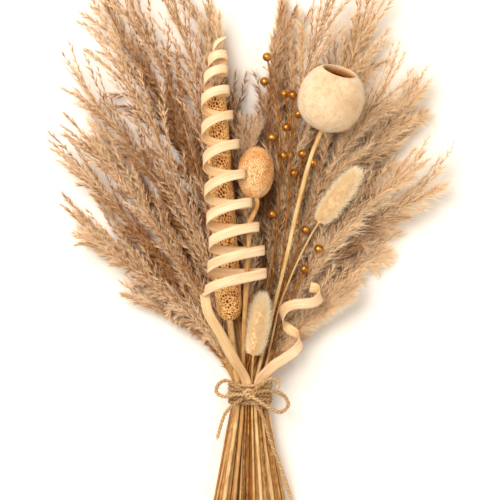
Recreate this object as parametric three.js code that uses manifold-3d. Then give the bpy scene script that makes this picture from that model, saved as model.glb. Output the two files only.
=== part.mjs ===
// Dried bouquet of pampas plumes with a few filler stems, tied with jute twine and lying down.
// Millimetres, +Z up. The stems point down the -Y axis, the plumes fan out along +Y, and the
// bouquet lies on the plane z = 0. Places are first worked out from the middle of the tie.
import * as THREE from "three";
import { mergeVertices } from "three/addons/utils/BufferGeometryUtils.js";
import Module from "manifold-3d";

const wasm = await Module();
wasm.setup();

// Clearances
const GAP = 0.35;
const MERGE_DISTANCE = 1e-4;
const SPLIT_TOLERANCE = 0.05;

// Fan of plumes: three layers, lowest first, each a row of stems at the tie. From left to
// right, each plume reaches a share of the fan's radius.
const LAYERS = [
  {
    name: "back", count: 8, spread: 52, branches: 9, droop: 1.4,
    reaches: [0.98, 0.88, 1.08, 0.94, 0.94, 0.95, 0.975, 0.94],
  },
  {
    name: "middle", count: 10, spread: 57, branches: 11, droop: 1,
    reaches: [0.94, 0.995, 1.01, 1.06, 0.91, 0.92, 1.05, 1, 1.08, 0.62],
  },
  {
    name: "front", count: 9, spread: 54, branches: 12, droop: 1,
    reaches: [1.02, 0.95, 0.98, 1.03, 0.66, 1.05, 0.97, 0.965, 0.84],
  },
];
const STEM_PITCH = 3.0;
const STEM_RADIUS = 1.25;
const CUT_END_RADIUS = 2.2;
const STEM_LENGTH = 148;
const STEM_LENGTH_SPREAD = 16;
const STEM_FLARE = 3;
const CUT_END_HEIGHTS = [1.6, 9.6, 18.2];
const TIE_HALF_LENGTH = 10;

const FAN_LEFT = { radius: 375, fallAngle: 47 };
const FAN_RIGHT = { radius: 366, fallAngle: 43 };
const FAN_FLAT_ANGLE = 9;
const FAN_FALL_POWER = 1.7;
const FAN_LEAST = 0.15;
const FAN_BEND = 0.45;
const FAN_BOW = 0.42;
const FAN_LOW_START = 11.9;
const FAN_LOW_SLOPE = 0.115;
const FAN_TOP_START = 21.3;
const FAN_TOP_SLOPE = 0.14;
const FAN_TOP_HIGHEST = 57;
const FAN_TIE_RADIUS = 18;

// One plume: its reach and branches as shares of the fan's reach, its core in millimetres
const CORE_RADII = [1.8, 2.2, 2.2, 2, 1.7, 1.2];
const STEM_SHARE = 0.3;
const STEM_TAPER_END = 0.26;
const SWAY = 1.1;
const SWAY_TURNS = 1.1;
const HEAD_START = { side: 0.14, middle: 0.36 };
const HEAD_ANGLES = [12, 26];
const LAST_BRANCH_START = 0.86;
const BRANCH_RADIUS = 2.1;
const BRANCH_LENGTH_RANGE = [0.17, 0.23];
const CELL_USE_RANGE = [0.6, 0.78];
const TIP_TAPER = 1.5;
const TIP_CLEARANCE = 1.05;
const GOLDEN_TURN = 2.39996;

// Porous seed cob
const COB_FOOT = [-17, 64.6];
const COB_HEAD = [-29.8, 259.3];
const COB_FOOT_RADIUS = 11.6;
const COB_HEAD_RADIUS = 9.4;
const COB_END_SHARPNESS = 18;
const COB_PITS = { rows: 16, columns: 3, depth: 0.12 };
const COB_STEM_RADIUS = 2.7;

// Egg-shaped sponge ball
const BALL_CENTRE = [4.8, 190.6];
const BALL_RADIUS = 15.7;
const BALL_HALF_LENGTH = 22.5;
const BALL_LEAN = 1.2;
const BALL_PITS = { rows: 5, columns: 3, depth: 0.05 };
const BALL_STEM_RADIUS = 2.1;

// Gourd cup
const CUP_CENTRE = [68.4, 252.5];
const CUP_RADIUS = 27.6;
const CUP_HALF_LENGTH = 28;
const CUP_MOUTH_HEIGHT = 24;
const CUP_MOUTH_RADIUS = 14;
const CUP_WALL = 3.4;
const CUP_SWELL = 2.3;
const CUP_LIP_RISE = 0.8;
const CUP_LIP_WIDTH = 1.4;
const CUP_LIP_DEPTH = 3.5;
const CUP_LEAN = 17;
const CUP_TILT = 20;
const CUP_STEM_RADIUS = 1.8;

// Wood shaving ribbons
const RIBBON_WIDTH = 8.8;
const RIBBON_THICKNESS = 0.8;
const SPIRAL_TURNS = 10.5;
const SPIRAL_SLANTS = [3.2, -0.4];
const SPIRAL_TILTS = [2.4, 4.6];
const SPIRAL_TILT_END = 0.35;
const SPIRAL_WIDE = 26.5;
const SPIRAL_NARROW = 5;
const SPIRAL_DEEP = 13.5;
const SPIRAL_SHALLOW = 5;
const SPIRAL_HEAD_WIDTH = 0.82;
const SPIRAL_TAIL_SHARE = 0.1;
const SPIRAL_POINT = 0.08;
const SPIRAL_RISE_FROM = 0.94;
const SPIRAL_LAST_RISE = 9;

// Hare's tail grass heads
const HARE_HAIRS = 26;
const HARE_HAIR_LENGTH = 7;
const HARE_HAIR_RADIUS = 1.3;
const HARE_CORE = 0.8;
const HARE_ROUNDNESS = 2.6;
const HARE_STEM_RADIUS = 0.9;

// Gold berries
const BERRY_RADIUS = 3.5;
const TWIG_RADIUS = 0.8;
const TWIG_END_RADIUS = 0.6;
const TWIG_CLEARANCE = 2;

// Jute twine
const TWINE_RADIUS = 1.75;
const LOOSE_TWINE_RADIUS = 1.66;
const WRAP_TURNS = 4.5;
const WRAP_PITCH = 3.75;
const WRAP_HALF_WIDTH = 17.6;
const WRAP_HALF_HEIGHT = 10.3;
const WRAP_MIDDLE_HEIGHT = 19.4;
const WRAP_SQUARENESS = 3;
const WRAP_SHIFT = 1.5;
const KNOT_TURNS = 1.5;
const KNOT_HALF_WIDTH = 4.2;
const KNOT_HALF_HEIGHT = 3.4;
const KNOT_CENTRE = [-0.8, 1.2];
const KNOT_RISE = [0.6, 3.4];

// Filler stems
const STEM_END = 0.997;
const SOCKET_FROM = 0.7;
const SOCKET_GAP = 0.5;
const DECOR_ROW_HEIGHT = 23.3;
const DECOR_CUT_HEIGHT = 26;

const COLOURS = {
  plume: 0xc9a27c, straw: 0xd9b06a, cob: 0xc9953f, ball: 0xd9ab6c, cup: 0xecd6ad,
  ribbon: 0xeed6a4, hare: 0xf3dca8, berry: 0xa8701c, jute: 0xb48c5a,
};

// Small maths

function degrees(angle) {
  return (angle * Math.PI) / 180;
}

function mix(from, to, share) {
  return from + (to - from) * share;
}

/** A repeatable draw between 0 and 1 for up to three whole numbers. */
function draw(first, second = 0, third = 0) {
  const wave = Math.sin(first * 12.9898 + second * 78.233 + third * 37.719 + 4.1) * 43758.5453;
  return wave - Math.floor(wave);
}

// Solids

/** The geometry with shared corners only, and without triangles that have no area. */
function welded(geometry) {
  const bare = geometry.clone();
  bare.deleteAttribute("normal");
  bare.deleteAttribute("uv");
  const shared = mergeVertices(bare, MERGE_DISTANCE);
  const corners = Array.from(shared.index.array);
  const kept = [];
  for (let i = 0; i < corners.length; i += 3) {
    const [a, b, c] = corners.slice(i, i + 3);
    if (a !== b && b !== c && c !== a) kept.push(a, b, c);
  }
  shared.setIndex(kept);
  return shared;
}

function solidOf(geometry) {
  const shared = welded(geometry);
  return new wasm.Manifold(new wasm.Mesh({
    numProp: 3,
    vertProperties: new Float32Array(shared.attributes.position.array),
    triVerts: new Uint32Array(shared.index.array),
  }));
}

function geometryOf(solid) {
  const mesh = solid.getMesh();
  const geometry = new THREE.BufferGeometry();
  geometry.setAttribute("position", new THREE.BufferAttribute(mesh.vertProperties, 3));
  geometry.setIndex(new THREE.BufferAttribute(mesh.triVerts, 1));
  geometry.computeVertexNormals();
  return geometry;
}

/** One solid from many, without the needless splits that a join leaves in flat faces. */
function joined(geometries) {
  return geometries.map(solidOf).reduce((sum, solid) => sum.add(solid)).simplify(SPLIT_TOLERANCE);
}

/** Where the floor would cut a solid, it gets a small flat spot at z = 0. */
function restingOnFloor(solid) {
  const floor = new THREE.BoxGeometry(900, 900, 20);
  floor.translate(0, 100, -10);
  return solid.subtract(solidOf(floor));
}

// Sweeps

/** A path through chosen points, as a function of the share of its length. */
function route(points) {
  const curve = new THREE.CatmullRomCurve3(points.map((point) => new THREE.Vector3(...point)));
  return (share) => curve.getPointAt(THREE.MathUtils.clamp(share, 0, 1));
}

function tangentAt(path, share) {
  const step = 1e-3;
  const from = path(Math.max(share - step, 0));
  return path(Math.min(share + step, 1)).sub(from).normalize();
}

/**
 * A lathe of [share, radius] steps bent along a path. The sideways direction is square to
 * the path and to the reference, and relief(share, angle) scales the radius.
 */
function bentLathe(path, profile, sides, reference = [0, 0, 1], relief = () => 1) {
  const outline = profile.map(([share, radius]) => new THREE.Vector2(radius, share));
  const geometry = welded(new THREE.LatheGeometry(outline, sides));
  const position = geometry.attributes.position;
  const up = new THREE.Vector3(...reference);
  for (let i = 0; i < position.count; i += 1) {
    const share = position.getY(i);
    const along = tangentAt(path, share);
    const side = new THREE.Vector3().crossVectors(along, up).normalize();
    const lift = new THREE.Vector3().crossVectors(side, along);
    const scale = relief(share, Math.atan2(position.getX(i), position.getZ(i)));
    const point = path(share)
      .addScaledVector(side, position.getX(i) * scale)
      .addScaledVector(lift, position.getZ(i) * scale);
    position.setXYZ(i, point.x, point.y, point.z);
  }
  return geometry;
}

/** Even steps of one radius with closed ends, for a plain round stem or cord. */
function plainProfile(steps, radius, endRadius = radius) {
  const profile = [[0, 0]];
  for (let i = 0; i <= steps; i += 1) {
    profile.push([i / steps, mix(radius, endRadius, i / steps)]);
  }
  profile.push([1, 0]);
  return profile;
}

/** The four corners of a flat strip at one step, its width held near the given direction. */
function stripCorners(path, share, { direction, width }) {
  const along = tangentAt(path, share);
  const across = direction.clone().addScaledVector(along, -direction.dot(along)).normalize();
  const face = new THREE.Vector3().crossVectors(along, across);
  return [[-1, 1], [1, 1], [1, -1], [-1, -1]].map(([side, top]) => path(share)
    .addScaledVector(across, (side * width) / 2)
    .addScaledVector(face, (top * RIBBON_THICKNESS) / 2));
}

/** A flat strip bent along a path, with both faces split along the same diagonals. */
function bentStrip(path, steps, widthAt) {
  const places = [];
  const faces = [0, 1, 2, 0, 2, 3];
  for (let i = 0; i <= steps; i += 1) {
    const share = i / steps;
    stripCorners(path, share, widthAt(share)).forEach((corner) => places.push(...corner.toArray()));
    if (i === steps) break;
    const [a, b, c, d] = [0, 1, 2, 3].map((corner) => 4 * i + corner);
    const [e, f, g, h] = [0, 1, 2, 3].map((corner) => 4 * (i + 1) + corner);
    faces.push(a, f, b, a, e, f);
    faces.push(b, g, c, b, f, g);
    faces.push(c, g, d, d, g, h);
    faces.push(d, e, a, d, h, e);
  }
  const last = 4 * steps;
  faces.push(last, last + 2, last + 1, last, last + 3, last + 2);
  const strip = new THREE.BufferGeometry();
  strip.setAttribute("position", new THREE.Float32BufferAttribute(places, 3));
  strip.setIndex(faces);
  return strip;
}

// Fan of plumes

/** How far from the tie the plume tips reach in a direction. */
function fanRadius(angle) {
  const turned = angle / degrees(1);
  const right = THREE.MathUtils.smoothstep(turned, -FAN_FLAT_ANGLE, FAN_FLAT_ANGLE);
  const radius = mix(FAN_LEFT.radius, FAN_RIGHT.radius, right);
  const fall = mix(FAN_LEFT.fallAngle, FAN_RIGHT.fallAngle, right);
  const off = Math.max(Math.abs(turned) - FAN_FLAT_ANGLE, 0) / fall;
  return radius * Math.sqrt(Math.max(1 - off ** FAN_FALL_POWER, FAN_LEAST));
}

/** How far a plume strays sideways from a straight direction, at a share of its reach. */
function sway(seed, share) {
  const wave = Math.sin(2 * Math.PI * (SWAY_TURNS * share + draw(seed, 14)));
  return degrees(SWAY) * wave * THREE.MathUtils.smoothstep(share, 0, 0.4);
}

/** Where a plume's head starts: the upper plumes in the middle have longer bare stems. */
function headStart(layerNumber, centre) {
  if (layerNumber === 0) return HEAD_START.side;
  const outer = THREE.MathUtils.smoothstep(Math.abs(centre) / degrees(1), ...HEAD_ANGLES);
  return mix(HEAD_START.middle, HEAD_START.side, outer);
}

function fanLow(distance) {
  return Math.max(FAN_LOW_START - FAN_LOW_SLOPE * Math.max(distance - FAN_TIE_RADIUS, 0), 0);
}

function fanTop(distance) {
  const rise = FAN_TOP_SLOPE * Math.max(distance - FAN_TIE_RADIUS, 0);
  return Math.min(FAN_TOP_START + rise, FAN_TOP_HIGHEST);
}

/** Height at which a round thing of this radius lies on the fan. */
function lyingOn(x, y, radius) {
  return fanTop(Math.hypot(x, y)) + radius + GAP;
}

function slotX(layer, angle) {
  return (angle / degrees((2 * layer.spread) / layer.count)) * STEM_PITCH;
}

/** A point of the fan: angle from +Y, depth 0 at the floor to 1 on top, share of the reach. */
function fanPoint(layer, angle, depth, share) {
  const reach = fanRadius(angle);
  const foot = slotX(layer, angle);
  const bend = FAN_BEND * angle;
  const curve = new THREE.QuadraticBezierCurve(
    new THREE.Vector2(foot, TIE_HALF_LENGTH),
    new THREE.Vector2(foot + FAN_BOW * reach * Math.sin(bend),
      TIE_HALF_LENGTH + FAN_BOW * reach * Math.cos(bend)),
    new THREE.Vector2(reach * Math.sin(angle), reach * Math.cos(angle)),
  );
  const flat = curve.getPoint(share);
  const distance = flat.length();
  return new THREE.Vector3(flat.x, flat.y, mix(fanLow(distance), fanTop(distance), depth));
}

/** A point of a stem below the tie, spreading towards its cut end. */
function stemPoint(foot, tieHeight, cutHeight, y) {
  const spread = Math.max(-y - TIE_HALF_LENGTH, 0) / STEM_LENGTH;
  return new THREE.Vector3(foot * mix(1, STEM_FLARE, spread), y, mix(tieHeight, cutHeight, spread));
}

function cutLength(seed) {
  return STEM_LENGTH + STEM_LENGTH_SPREAD * (draw(seed, 3) - 0.5);
}

/** One branch of a plume: a three-sided spindle from the core to the edge of its own room. */
function plumeBranch(plume, number) {
  const { layer, seed, centre, depth, reach, head } = plume;
  const turn = number * GOLDEN_TURN + seed;
  const start = mix(head, LAST_BRANCH_START, number / (layer.branches - 1)) * reach;
  const end = Math.min(start + mix(...BRANCH_LENGTH_RANGE, draw(seed, number, 1)), reach);
  const taper = Math.sqrt(Math.max(1 - end / (reach * TIP_CLEARANCE), 0.02)) * TIP_TAPER;
  const room = Math.min(taper, 1) * mix(...CELL_USE_RANGE, draw(seed, number, 2));
  const sideways = degrees(layer.spread / layer.count) * room * Math.cos(turn);
  const droop = Math.sin(turn) < 0 ? layer.droop : 1;
  const upward = (0.5 / LAYERS.length) * room * droop * Math.sin(turn);
  const path = (share) => {
    const along = mix(start, end, share);
    return fanPoint(layer, centre + sway(seed, along) + sideways * share,
      depth + upward * share, along);
  };
  return bentLathe(path, [[0, 0], [0.5, BRANCH_RADIUS], [1, 0]], 3);
}

/** Stem and slim core of a plume, from the cut end through the tie to the tip. */
function plumeAxis({ layer, layerNumber, seed, centre, depth, reach, head }) {
  const foot = slotX(layer, centre);
  const length = cutLength(seed);
  const tieHeight = mix(FAN_LOW_START, FAN_TOP_START, depth);
  const path = (share) => {
    if (share < STEM_SHARE) {
      const y = mix(-length, TIE_HALF_LENGTH, share / STEM_SHARE);
      return stemPoint(foot, tieHeight, CUT_END_HEIGHTS[layerNumber], y);
    }
    const along = ((share - STEM_SHARE) / (1 - STEM_SHARE)) * reach;
    return fanPoint(layer, centre + sway(seed, along), depth, along);
  };
  const headShare = mix(STEM_SHARE, 1, head);
  const core = [STEM_RADIUS, ...CORE_RADII].map((radius, step) =>
    [mix(headShare, 1, step / (CORE_RADII.length + 1)), radius]);
  const outline = [
    [0, 0], [0, CUT_END_RADIUS], [STEM_TAPER_END, STEM_RADIUS], [STEM_SHARE, STEM_RADIUS],
    ...core, [1, 0],
  ];
  return bentLathe(path, outline, 4);
}

function plumeSolid(layer, layerNumber, index) {
  const centre = degrees(layer.spread * ((2 * index + 1) / layer.count - 1));
  const plume = {
    layer, layerNumber, centre, seed: 10 * layerNumber + index + 1,
    depth: (layerNumber + 0.5) / LAYERS.length, reach: layer.reaches[index],
    head: headStart(layerNumber, centre),
  };
  const pieces = [plumeAxis(plume)];
  for (let number = 0; number < layer.branches; number += 1) {
    pieces.push(plumeBranch(plume, number));
  }
  const solid = joined(pieces);
  return layerNumber === 0 ? restingOnFloor(solid) : solid;
}

// Filler stems

/** Points of a filler stem below and inside the tie, before its own route starts. */
function decorFoot(x, seed) {
  const length = cutLength(seed);
  return [-length, -length / 2, -TIE_HALF_LENGTH - 4, 5].map((y) => {
    const point = stemPoint(x, DECOR_ROW_HEIGHT, DECOR_CUT_HEIGHT, y);
    return [point.x, point.y, point.z];
  });
}

/** Even steps of a stem from a share of its path on, with a narrower waist inside the tie. */
function stemProfile({ waist, radius, steps }, firstStep, extra, end) {
  const profile = [[firstStep / steps, 0]];
  for (let i = firstStep; i <= steps; i += 1) {
    const share = i / steps;
    const swell = Math.min(Math.max(share - 0.5, 0) * 4, 1);
    profile.push([Math.min(share, end), mix(waist, radius, swell) + extra]);
  }
  profile.push([end, 0]);
  return profile;
}

function roundStem(stem) {
  return bentLathe(stem.path, stemProfile(stem, 0, 0, STEM_END), stem.sides);
}

/** A body with a blind socket that its stem ends in. */
function withSocket(solid, stem) {
  const firstStep = Math.floor(stem.steps * SOCKET_FROM);
  const socket = stemProfile(stem, firstStep, SOCKET_GAP, 1);
  return solid.subtract(solidOf(bentLathe(stem.path, socket, stem.sides)));
}

// Seed cob

const COB_FOOT_HEIGHT = lyingOn(...COB_FOOT, COB_FOOT_RADIUS);
const COB_HEAD_HEIGHT = lyingOn(...COB_HEAD, COB_HEAD_RADIUS);

function cobAxis(share) {
  return new THREE.Vector3(mix(COB_FOOT[0], COB_HEAD[0], share), mix(COB_FOOT[1], COB_HEAD[1], share),
    mix(COB_FOOT_HEIGHT, COB_HEAD_HEIGHT, share));
}

function cobRadius(share) {
  const round = 1 - Math.abs(2 * share - 1) ** COB_END_SHARPNESS;
  return mix(COB_FOOT_RADIUS, COB_HEAD_RADIUS, share) * Math.sqrt(Math.max(round, 0));
}

/** Pits of the sponge-like skin. */
function pits(share, angle, { rows, columns, depth }) {
  const row = share * rows;
  const wave = Math.sin(row * Math.PI) * Math.cos(angle * columns + Math.floor(row) * 2.2);
  return 1 - depth * Math.max(wave, -0.3);
}

function cob() {
  const steps = 30;
  const profile = [];
  for (let i = 0; i <= steps; i += 1) {
    const share = i / steps;
    profile.push([share, cobRadius(share)]);
  }
  return solidOf(bentLathe(cobAxis, profile, 11, [0, 0, 1],
    (share, angle) => pits(share, angle, COB_PITS)));
}

const COB_STEM = {
  waist: 1.7, radius: COB_STEM_RADIUS, sides: 6, steps: 14,
  path: route([...decorFoot(-10.6, 101), [-11, 14.5, 24.4], [-14.5, 42, 34.5],
    cobAxis(0).toArray(), cobAxis(0.05).toArray()]),
};

// Sponge ball

const BALL_HEIGHT = lyingOn(...BALL_CENTRE, BALL_RADIUS);

function ball() {
  const steps = 10;
  const [x, y] = BALL_CENTRE;
  const foot = new THREE.Vector3(x - BALL_LEAN, y - BALL_HALF_LENGTH, BALL_HEIGHT);
  const head = new THREE.Vector3(x + BALL_LEAN, y + BALL_HALF_LENGTH, BALL_HEIGHT);
  const profile = [];
  for (let i = 0; i <= steps; i += 1) {
    const angle = (Math.PI * i) / steps;
    profile.push([(1 - Math.cos(angle)) / 2, BALL_RADIUS * Math.sin(angle)]);
  }
  return solidOf(bentLathe((share) => foot.clone().lerp(head, share), profile, 12, [0, 0, 1],
    (share, angle) => pits(share, angle, BALL_PITS)));
}

const BALL_STEM = {
  waist: 1.6, radius: BALL_STEM_RADIUS, sides: 5, steps: 20,
  path: route([...decorFoot(-6.4, 102), [-6.2, 14, 24.3], [-5.6, 35, 36], [-5.2, 57, 50],
    [-3.4, 91, 66], [-2.2, 115, 71.5], [-1, 132, 72.3], [-0.5, 147, 72], [3.8, 157, 69],
    [6.2, 164, 65.5], [4.6, 172, BALL_HEIGHT + 0.5], [4.2, 177, BALL_HEIGHT]]),
};

// Gourd cup

const CUP_HEIGHT = lyingOn(...CUP_CENTRE, CUP_RADIUS);

/** Direction of the cup's axis, from its foot to its mouth. */
function cupAxis() {
  const lean = degrees(CUP_LEAN);
  const tilt = degrees(CUP_TILT);
  return new THREE.Vector3(Math.sin(lean) * Math.cos(tilt), Math.cos(lean) * Math.cos(tilt),
    Math.sin(tilt));
}

/** Steps of height and radius: up the outer wall, over the lip and down the inner wall. */
function cupOutline() {
  const radiusAt = (share, radius) =>
    radius * Math.max(1 - Math.abs(share) ** CUP_SWELL, 0) ** (1 / CUP_SWELL);
  const outer = [-1, -0.97, -0.88, -0.7, -0.45, -0.15, 0.15, 0.42, 0.64].map((share) =>
    [share * CUP_HALF_LENGTH, radiusAt(share, CUP_RADIUS)]);
  const inner = [0.6, 0.35, 0.05, -0.3, -0.6, -0.85, -1].map((share) =>
    [share * (CUP_HALF_LENGTH - CUP_WALL), radiusAt(share, CUP_RADIUS - CUP_WALL)]);
  const lip = [
    [CUP_MOUTH_HEIGHT - CUP_LIP_RISE, radiusAt(CUP_MOUTH_HEIGHT / CUP_HALF_LENGTH, CUP_RADIUS)],
    [CUP_MOUTH_HEIGHT + CUP_LIP_RISE, CUP_MOUTH_RADIUS + CUP_LIP_WIDTH],
    [CUP_MOUTH_HEIGHT, CUP_MOUTH_RADIUS],
    [CUP_MOUTH_HEIGHT - CUP_LIP_DEPTH, CUP_MOUTH_RADIUS + CUP_LIP_RISE],
  ];
  return [...outer, ...lip, ...inner];
}

function cup() {
  const centre = new THREE.Vector3(...CUP_CENTRE, CUP_HEIGHT);
  const axis = cupAxis();
  const profile = cupOutline().map(([height, radius]) => new THREE.Vector2(radius, height));
  const geometry = new THREE.LatheGeometry(profile, 16);
  const lean = new THREE.Quaternion().setFromUnitVectors(new THREE.Vector3(0, 1, 0), axis);
  geometry.applyQuaternion(lean);
  geometry.translate(centre.x, centre.y, centre.z);
  return solidOf(geometry);
}

/** A place on the cup's axis, at a height above its centre. */
function onCupAxis(height) {
  return new THREE.Vector3(...CUP_CENTRE, CUP_HEIGHT).addScaledVector(cupAxis(), height).toArray();
}

const CUP_STEM = {
  waist: 1.5, radius: CUP_STEM_RADIUS, sides: 5, steps: 18,
  path: route([...decorFoot(4.6, 103), [6, 15, 24.2], [20, 73, 36], [31.5, 120, 47],
    [39.1, 155.6, 57.5], [51.9, 204.9, 73], onCupAxis(-CUP_HALF_LENGTH - 3),
    onCupAxis(-CUP_HALF_LENGTH + 2)]),
};

// Wood shaving ribbons

const SPIRAL_SPINE = new THREE.CatmullRomCurve3([
  [-12, 92.5], [-11.5, 127], [-18, 162.5], [-23.8, 206.6], [-28.5, 249.2], [-27.3, 279.5],
  [-23.5, 297],
].map(([x, y], step, places) => {
  const share = THREE.MathUtils.clamp((y - COB_FOOT[1]) / (COB_HEAD[1] - COB_FOOT[1]), 0, 1);
  const front = cobAxis(share).z + mix(COB_FOOT_RADIUS, COB_HEAD_RADIUS, share) * 1.04;
  const depth = mix(SPIRAL_DEEP, SPIRAL_SHALLOW, step / (places.length - 1));
  return new THREE.Vector3(x, y, front + depth + RIBBON_THICKNESS + GAP);
}));

/** The coiled part of the spiral ribbon, from its widest turn up to its narrow end. */
function spiralPoint(share) {
  const turn = (2 * SPIRAL_TURNS * share - 0.5) * Math.PI;
  const ending = THREE.MathUtils.smoothstep(share, SPIRAL_RISE_FROM, 1);
  const leaning = THREE.MathUtils.smoothstep(share, 0, SPIRAL_TILT_END);
  const tilt = mix(...SPIRAL_TILTS, leaning) * (1 - ending);
  const point = SPIRAL_SPINE.getPoint(share);
  point.x += mix(SPIRAL_WIDE, SPIRAL_NARROW, share) * Math.sin(turn);
  point.y += mix(...SPIRAL_SLANTS, share) * Math.sin(turn) + tilt * Math.cos(turn)
    + SPIRAL_LAST_RISE * ending;
  point.z += mix(SPIRAL_DEEP, SPIRAL_SHALLOW, share) * Math.cos(turn);
  return point;
}

const SPIRAL_TAIL = [
  [-1.6, -9, 26.3],
  [-2.2, 0, 26.3],
  [-3.6, 12, 26.7],
  [-12.6, 29, 41],
  [-25, 53, 56],
  [-35.4, 72, 67.5],
];

function spiralRibbon() {
  const tail = new THREE.CatmullRomCurve3(
    [...SPIRAL_TAIL, spiralPoint(0).toArray()].map((point) => new THREE.Vector3(...point)));
  const path = (share) => (share < SPIRAL_TAIL_SHARE
    ? tail.getPoint(share / SPIRAL_TAIL_SHARE)
    : spiralPoint((share - SPIRAL_TAIL_SHARE) / (1 - SPIRAL_TAIL_SHARE)));
  const flat = new THREE.Vector3(0.88, 0.47, 0);
  const upright = new THREE.Vector3(0, 1, 0);
  const widthAt = (share) => ({
    direction: flat.clone().lerp(upright, THREE.MathUtils.smoothstep(share, 0.06, 0.115)),
    width: RIBBON_WIDTH * mix(1, SPIRAL_HEAD_WIDTH, share)
      * Math.min(1, (1.01 - share) / SPIRAL_POINT),
  });
  return solidOf(bentStrip(path, 112, widthAt));
}

const CURL_PATH = route([
  [7.2, -9, 25.9],
  [7.2, 2, 25.9],
  [8, 11, 26.2],
  [13, 18.2, 30.5],
  [20.8, 26, 37],
  [30.5, 32.6, 43],
  [38.6, 38.4, 45.5],
  [43.4, 45.4, 40.5],
  [40.6, 52, 34.2],
  [34.5, 56.4, 32.4],
  [29.5, 61.6, 34],
  [27, 69, 40],
  [30.5, 75.4, 46.8],
  [37.6, 78.4, 50.6],
  [46.8, 79, 51.8],
  [55.4, 80.6, 49.4],
  [60.6, 86, 43.4],
  [57.4, 91.4, 38.6],
  [51.4, 93, 37.6],
]);

function curlRibbon() {
  const axis = new THREE.Vector3(-0.3, 0.95, 0);
  const flat = new THREE.Vector3(-1, 0.1, 0);
  const widthAt = (share) => ({
    direction: flat.clone().lerp(axis, THREE.MathUtils.smoothstep(share, 0.1, 0.22)),
    width: RIBBON_WIDTH,
  });
  return solidOf(bentStrip(CURL_PATH, 34, widthAt));
}

// Hare's tail grass

const HARE_TAILS = [
  {
    name: "hare_tail_right", radius: 9.6, slot: 9.6, seed: 104,
    foot: [58.3, 147.9], tip: [94.9, 196.4],
    stem: [[15, 30, 27.5], [24.5, 73, 36], [31, 92, 39.5], [45, 124, 45]],
  },
  {
    name: "hare_tail_centre", radius: 9.4, slot: 1.7, seed: 105,
    foot: [2.7, 34], tip: [11.5, 91], lift: 9,
    stem: [[1.6, 14, 24.6], [2, 22, 31]],
  },
];

/** Thickness of a head along its length, as a share of its radius. */
function hareBelly(share) {
  return Math.sqrt(Math.max(1 - Math.abs(2 * share - 1) ** HARE_ROUNDNESS, 0));
}

function hareTail({ radius, slot, seed, foot, tip, stem, lift = 0 }) {
  const from = new THREE.Vector3(...foot, lyingOn(...foot, radius) + lift);
  const to = new THREE.Vector3(...tip, lyingOn(...tip, radius) + lift);
  const axis = (share) => from.clone().lerp(to, share);
  const steps = 7;
  const core = [];
  for (let i = 0; i <= steps; i += 1) {
    const share = (1 - Math.cos((Math.PI * i) / steps)) / 2;
    core.push([share * 0.93, radius * HARE_CORE * hareBelly(share)]);
  }
  const pieces = [bentLathe(axis, core, 8)];
  pieces.push(roundStem({
    waist: HARE_STEM_RADIUS, radius: HARE_STEM_RADIUS, sides: 4, steps: 12,
    path: route([...decorFoot(slot, seed), ...stem, from.toArray(), axis(0.2).toArray()]),
  }));
  for (let i = 0; i < HARE_HAIRS; i += 1) {
    const share = mix(0.06, 0.9, i / (HARE_HAIRS - 1));
    pieces.push(hareHair(axis, share, i * GOLDEN_TURN, radius, i));
  }
  return joined(pieces);
}

/** One tuft of hair, from inside the core out and forwards. */
function hareHair(axis, share, turn, radius, number) {
  const along = axis(1).sub(axis(0)).normalize();
  const side = new THREE.Vector3(along.y, -along.x, 0).normalize();
  const lift = new THREE.Vector3().crossVectors(side, along);
  const out = side.multiplyScalar(Math.cos(turn)).addScaledVector(lift, Math.sin(turn));
  const belly = hareBelly(Math.min(share + 0.08, 0.96));
  const root = axis(share).addScaledVector(out, (radius * HARE_CORE * belly) / 2);
  const tip = axis(share).addScaledVector(out, radius * belly * mix(0.98, 1.08, draw(number, 5)))
    .addScaledVector(along, HARE_HAIR_LENGTH * Math.min(1, (1.06 - share) * 5));
  const outline = [[0, 0], [0, HARE_HAIR_RADIUS], [1, 0]];
  return bentLathe((at) => root.clone().lerp(tip, at), outline, 3, [0.1, 0.2, 1]);
}

// Gold berries

/** Each spray has a twig through chosen places and berries with the twig share they leave. */
const SPRAYS = [
  {
    name: "berry_spray_left", slot: -3.2, seed: 106,
    twig: [[-2.4, 24], [9.5, 60], [19, 100], [24, 160], [25.5, 205], [24, 240], [20, 264], [14.5, 288]],
    berries: [[14.5, 289, 1], [12.3, 268.2, 0.93], [18.7, 221, 0.82], [28.6, 205.7, 0.78],
      [19.1, 155.6, 0.66]],
  },
  {
    name: "berry_spray_middle", slot: -1.1, seed: 107,
    twig: [[2.2, 24], [16, 60], [27, 110], [31, 150], [33.5, 184], [34.5, 225], [35.4, 254]],
    berries: [[36.4, 257, 1], [29.5, 257.6, 0.95], [41.5, 240.6, 0.9], [31, 229.5, 0.88],
      [37.5, 190.4, 0.76]],
  },
  {
    name: "berry_spray_right", slot: 7.3, seed: 108,
    twig: [[21.5, 66], [33, 105], [41.5, 130], [42, 155], [40.6, 180], [44.4, 204]],
    berries: [[44.7, 207, 1], [54, 199.2, 0.9], [47.6, 142, 0.76]],
  },
  {
    name: "berry_spray_low", slot: 11.8, seed: 109,
    twig: [[19, 34], [27.5, 66], [38, 90], [50, 108]],
    berries: [[58.7, 125.8, 1], [46.8, 108.8, 0.93]],
  },
];

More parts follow.
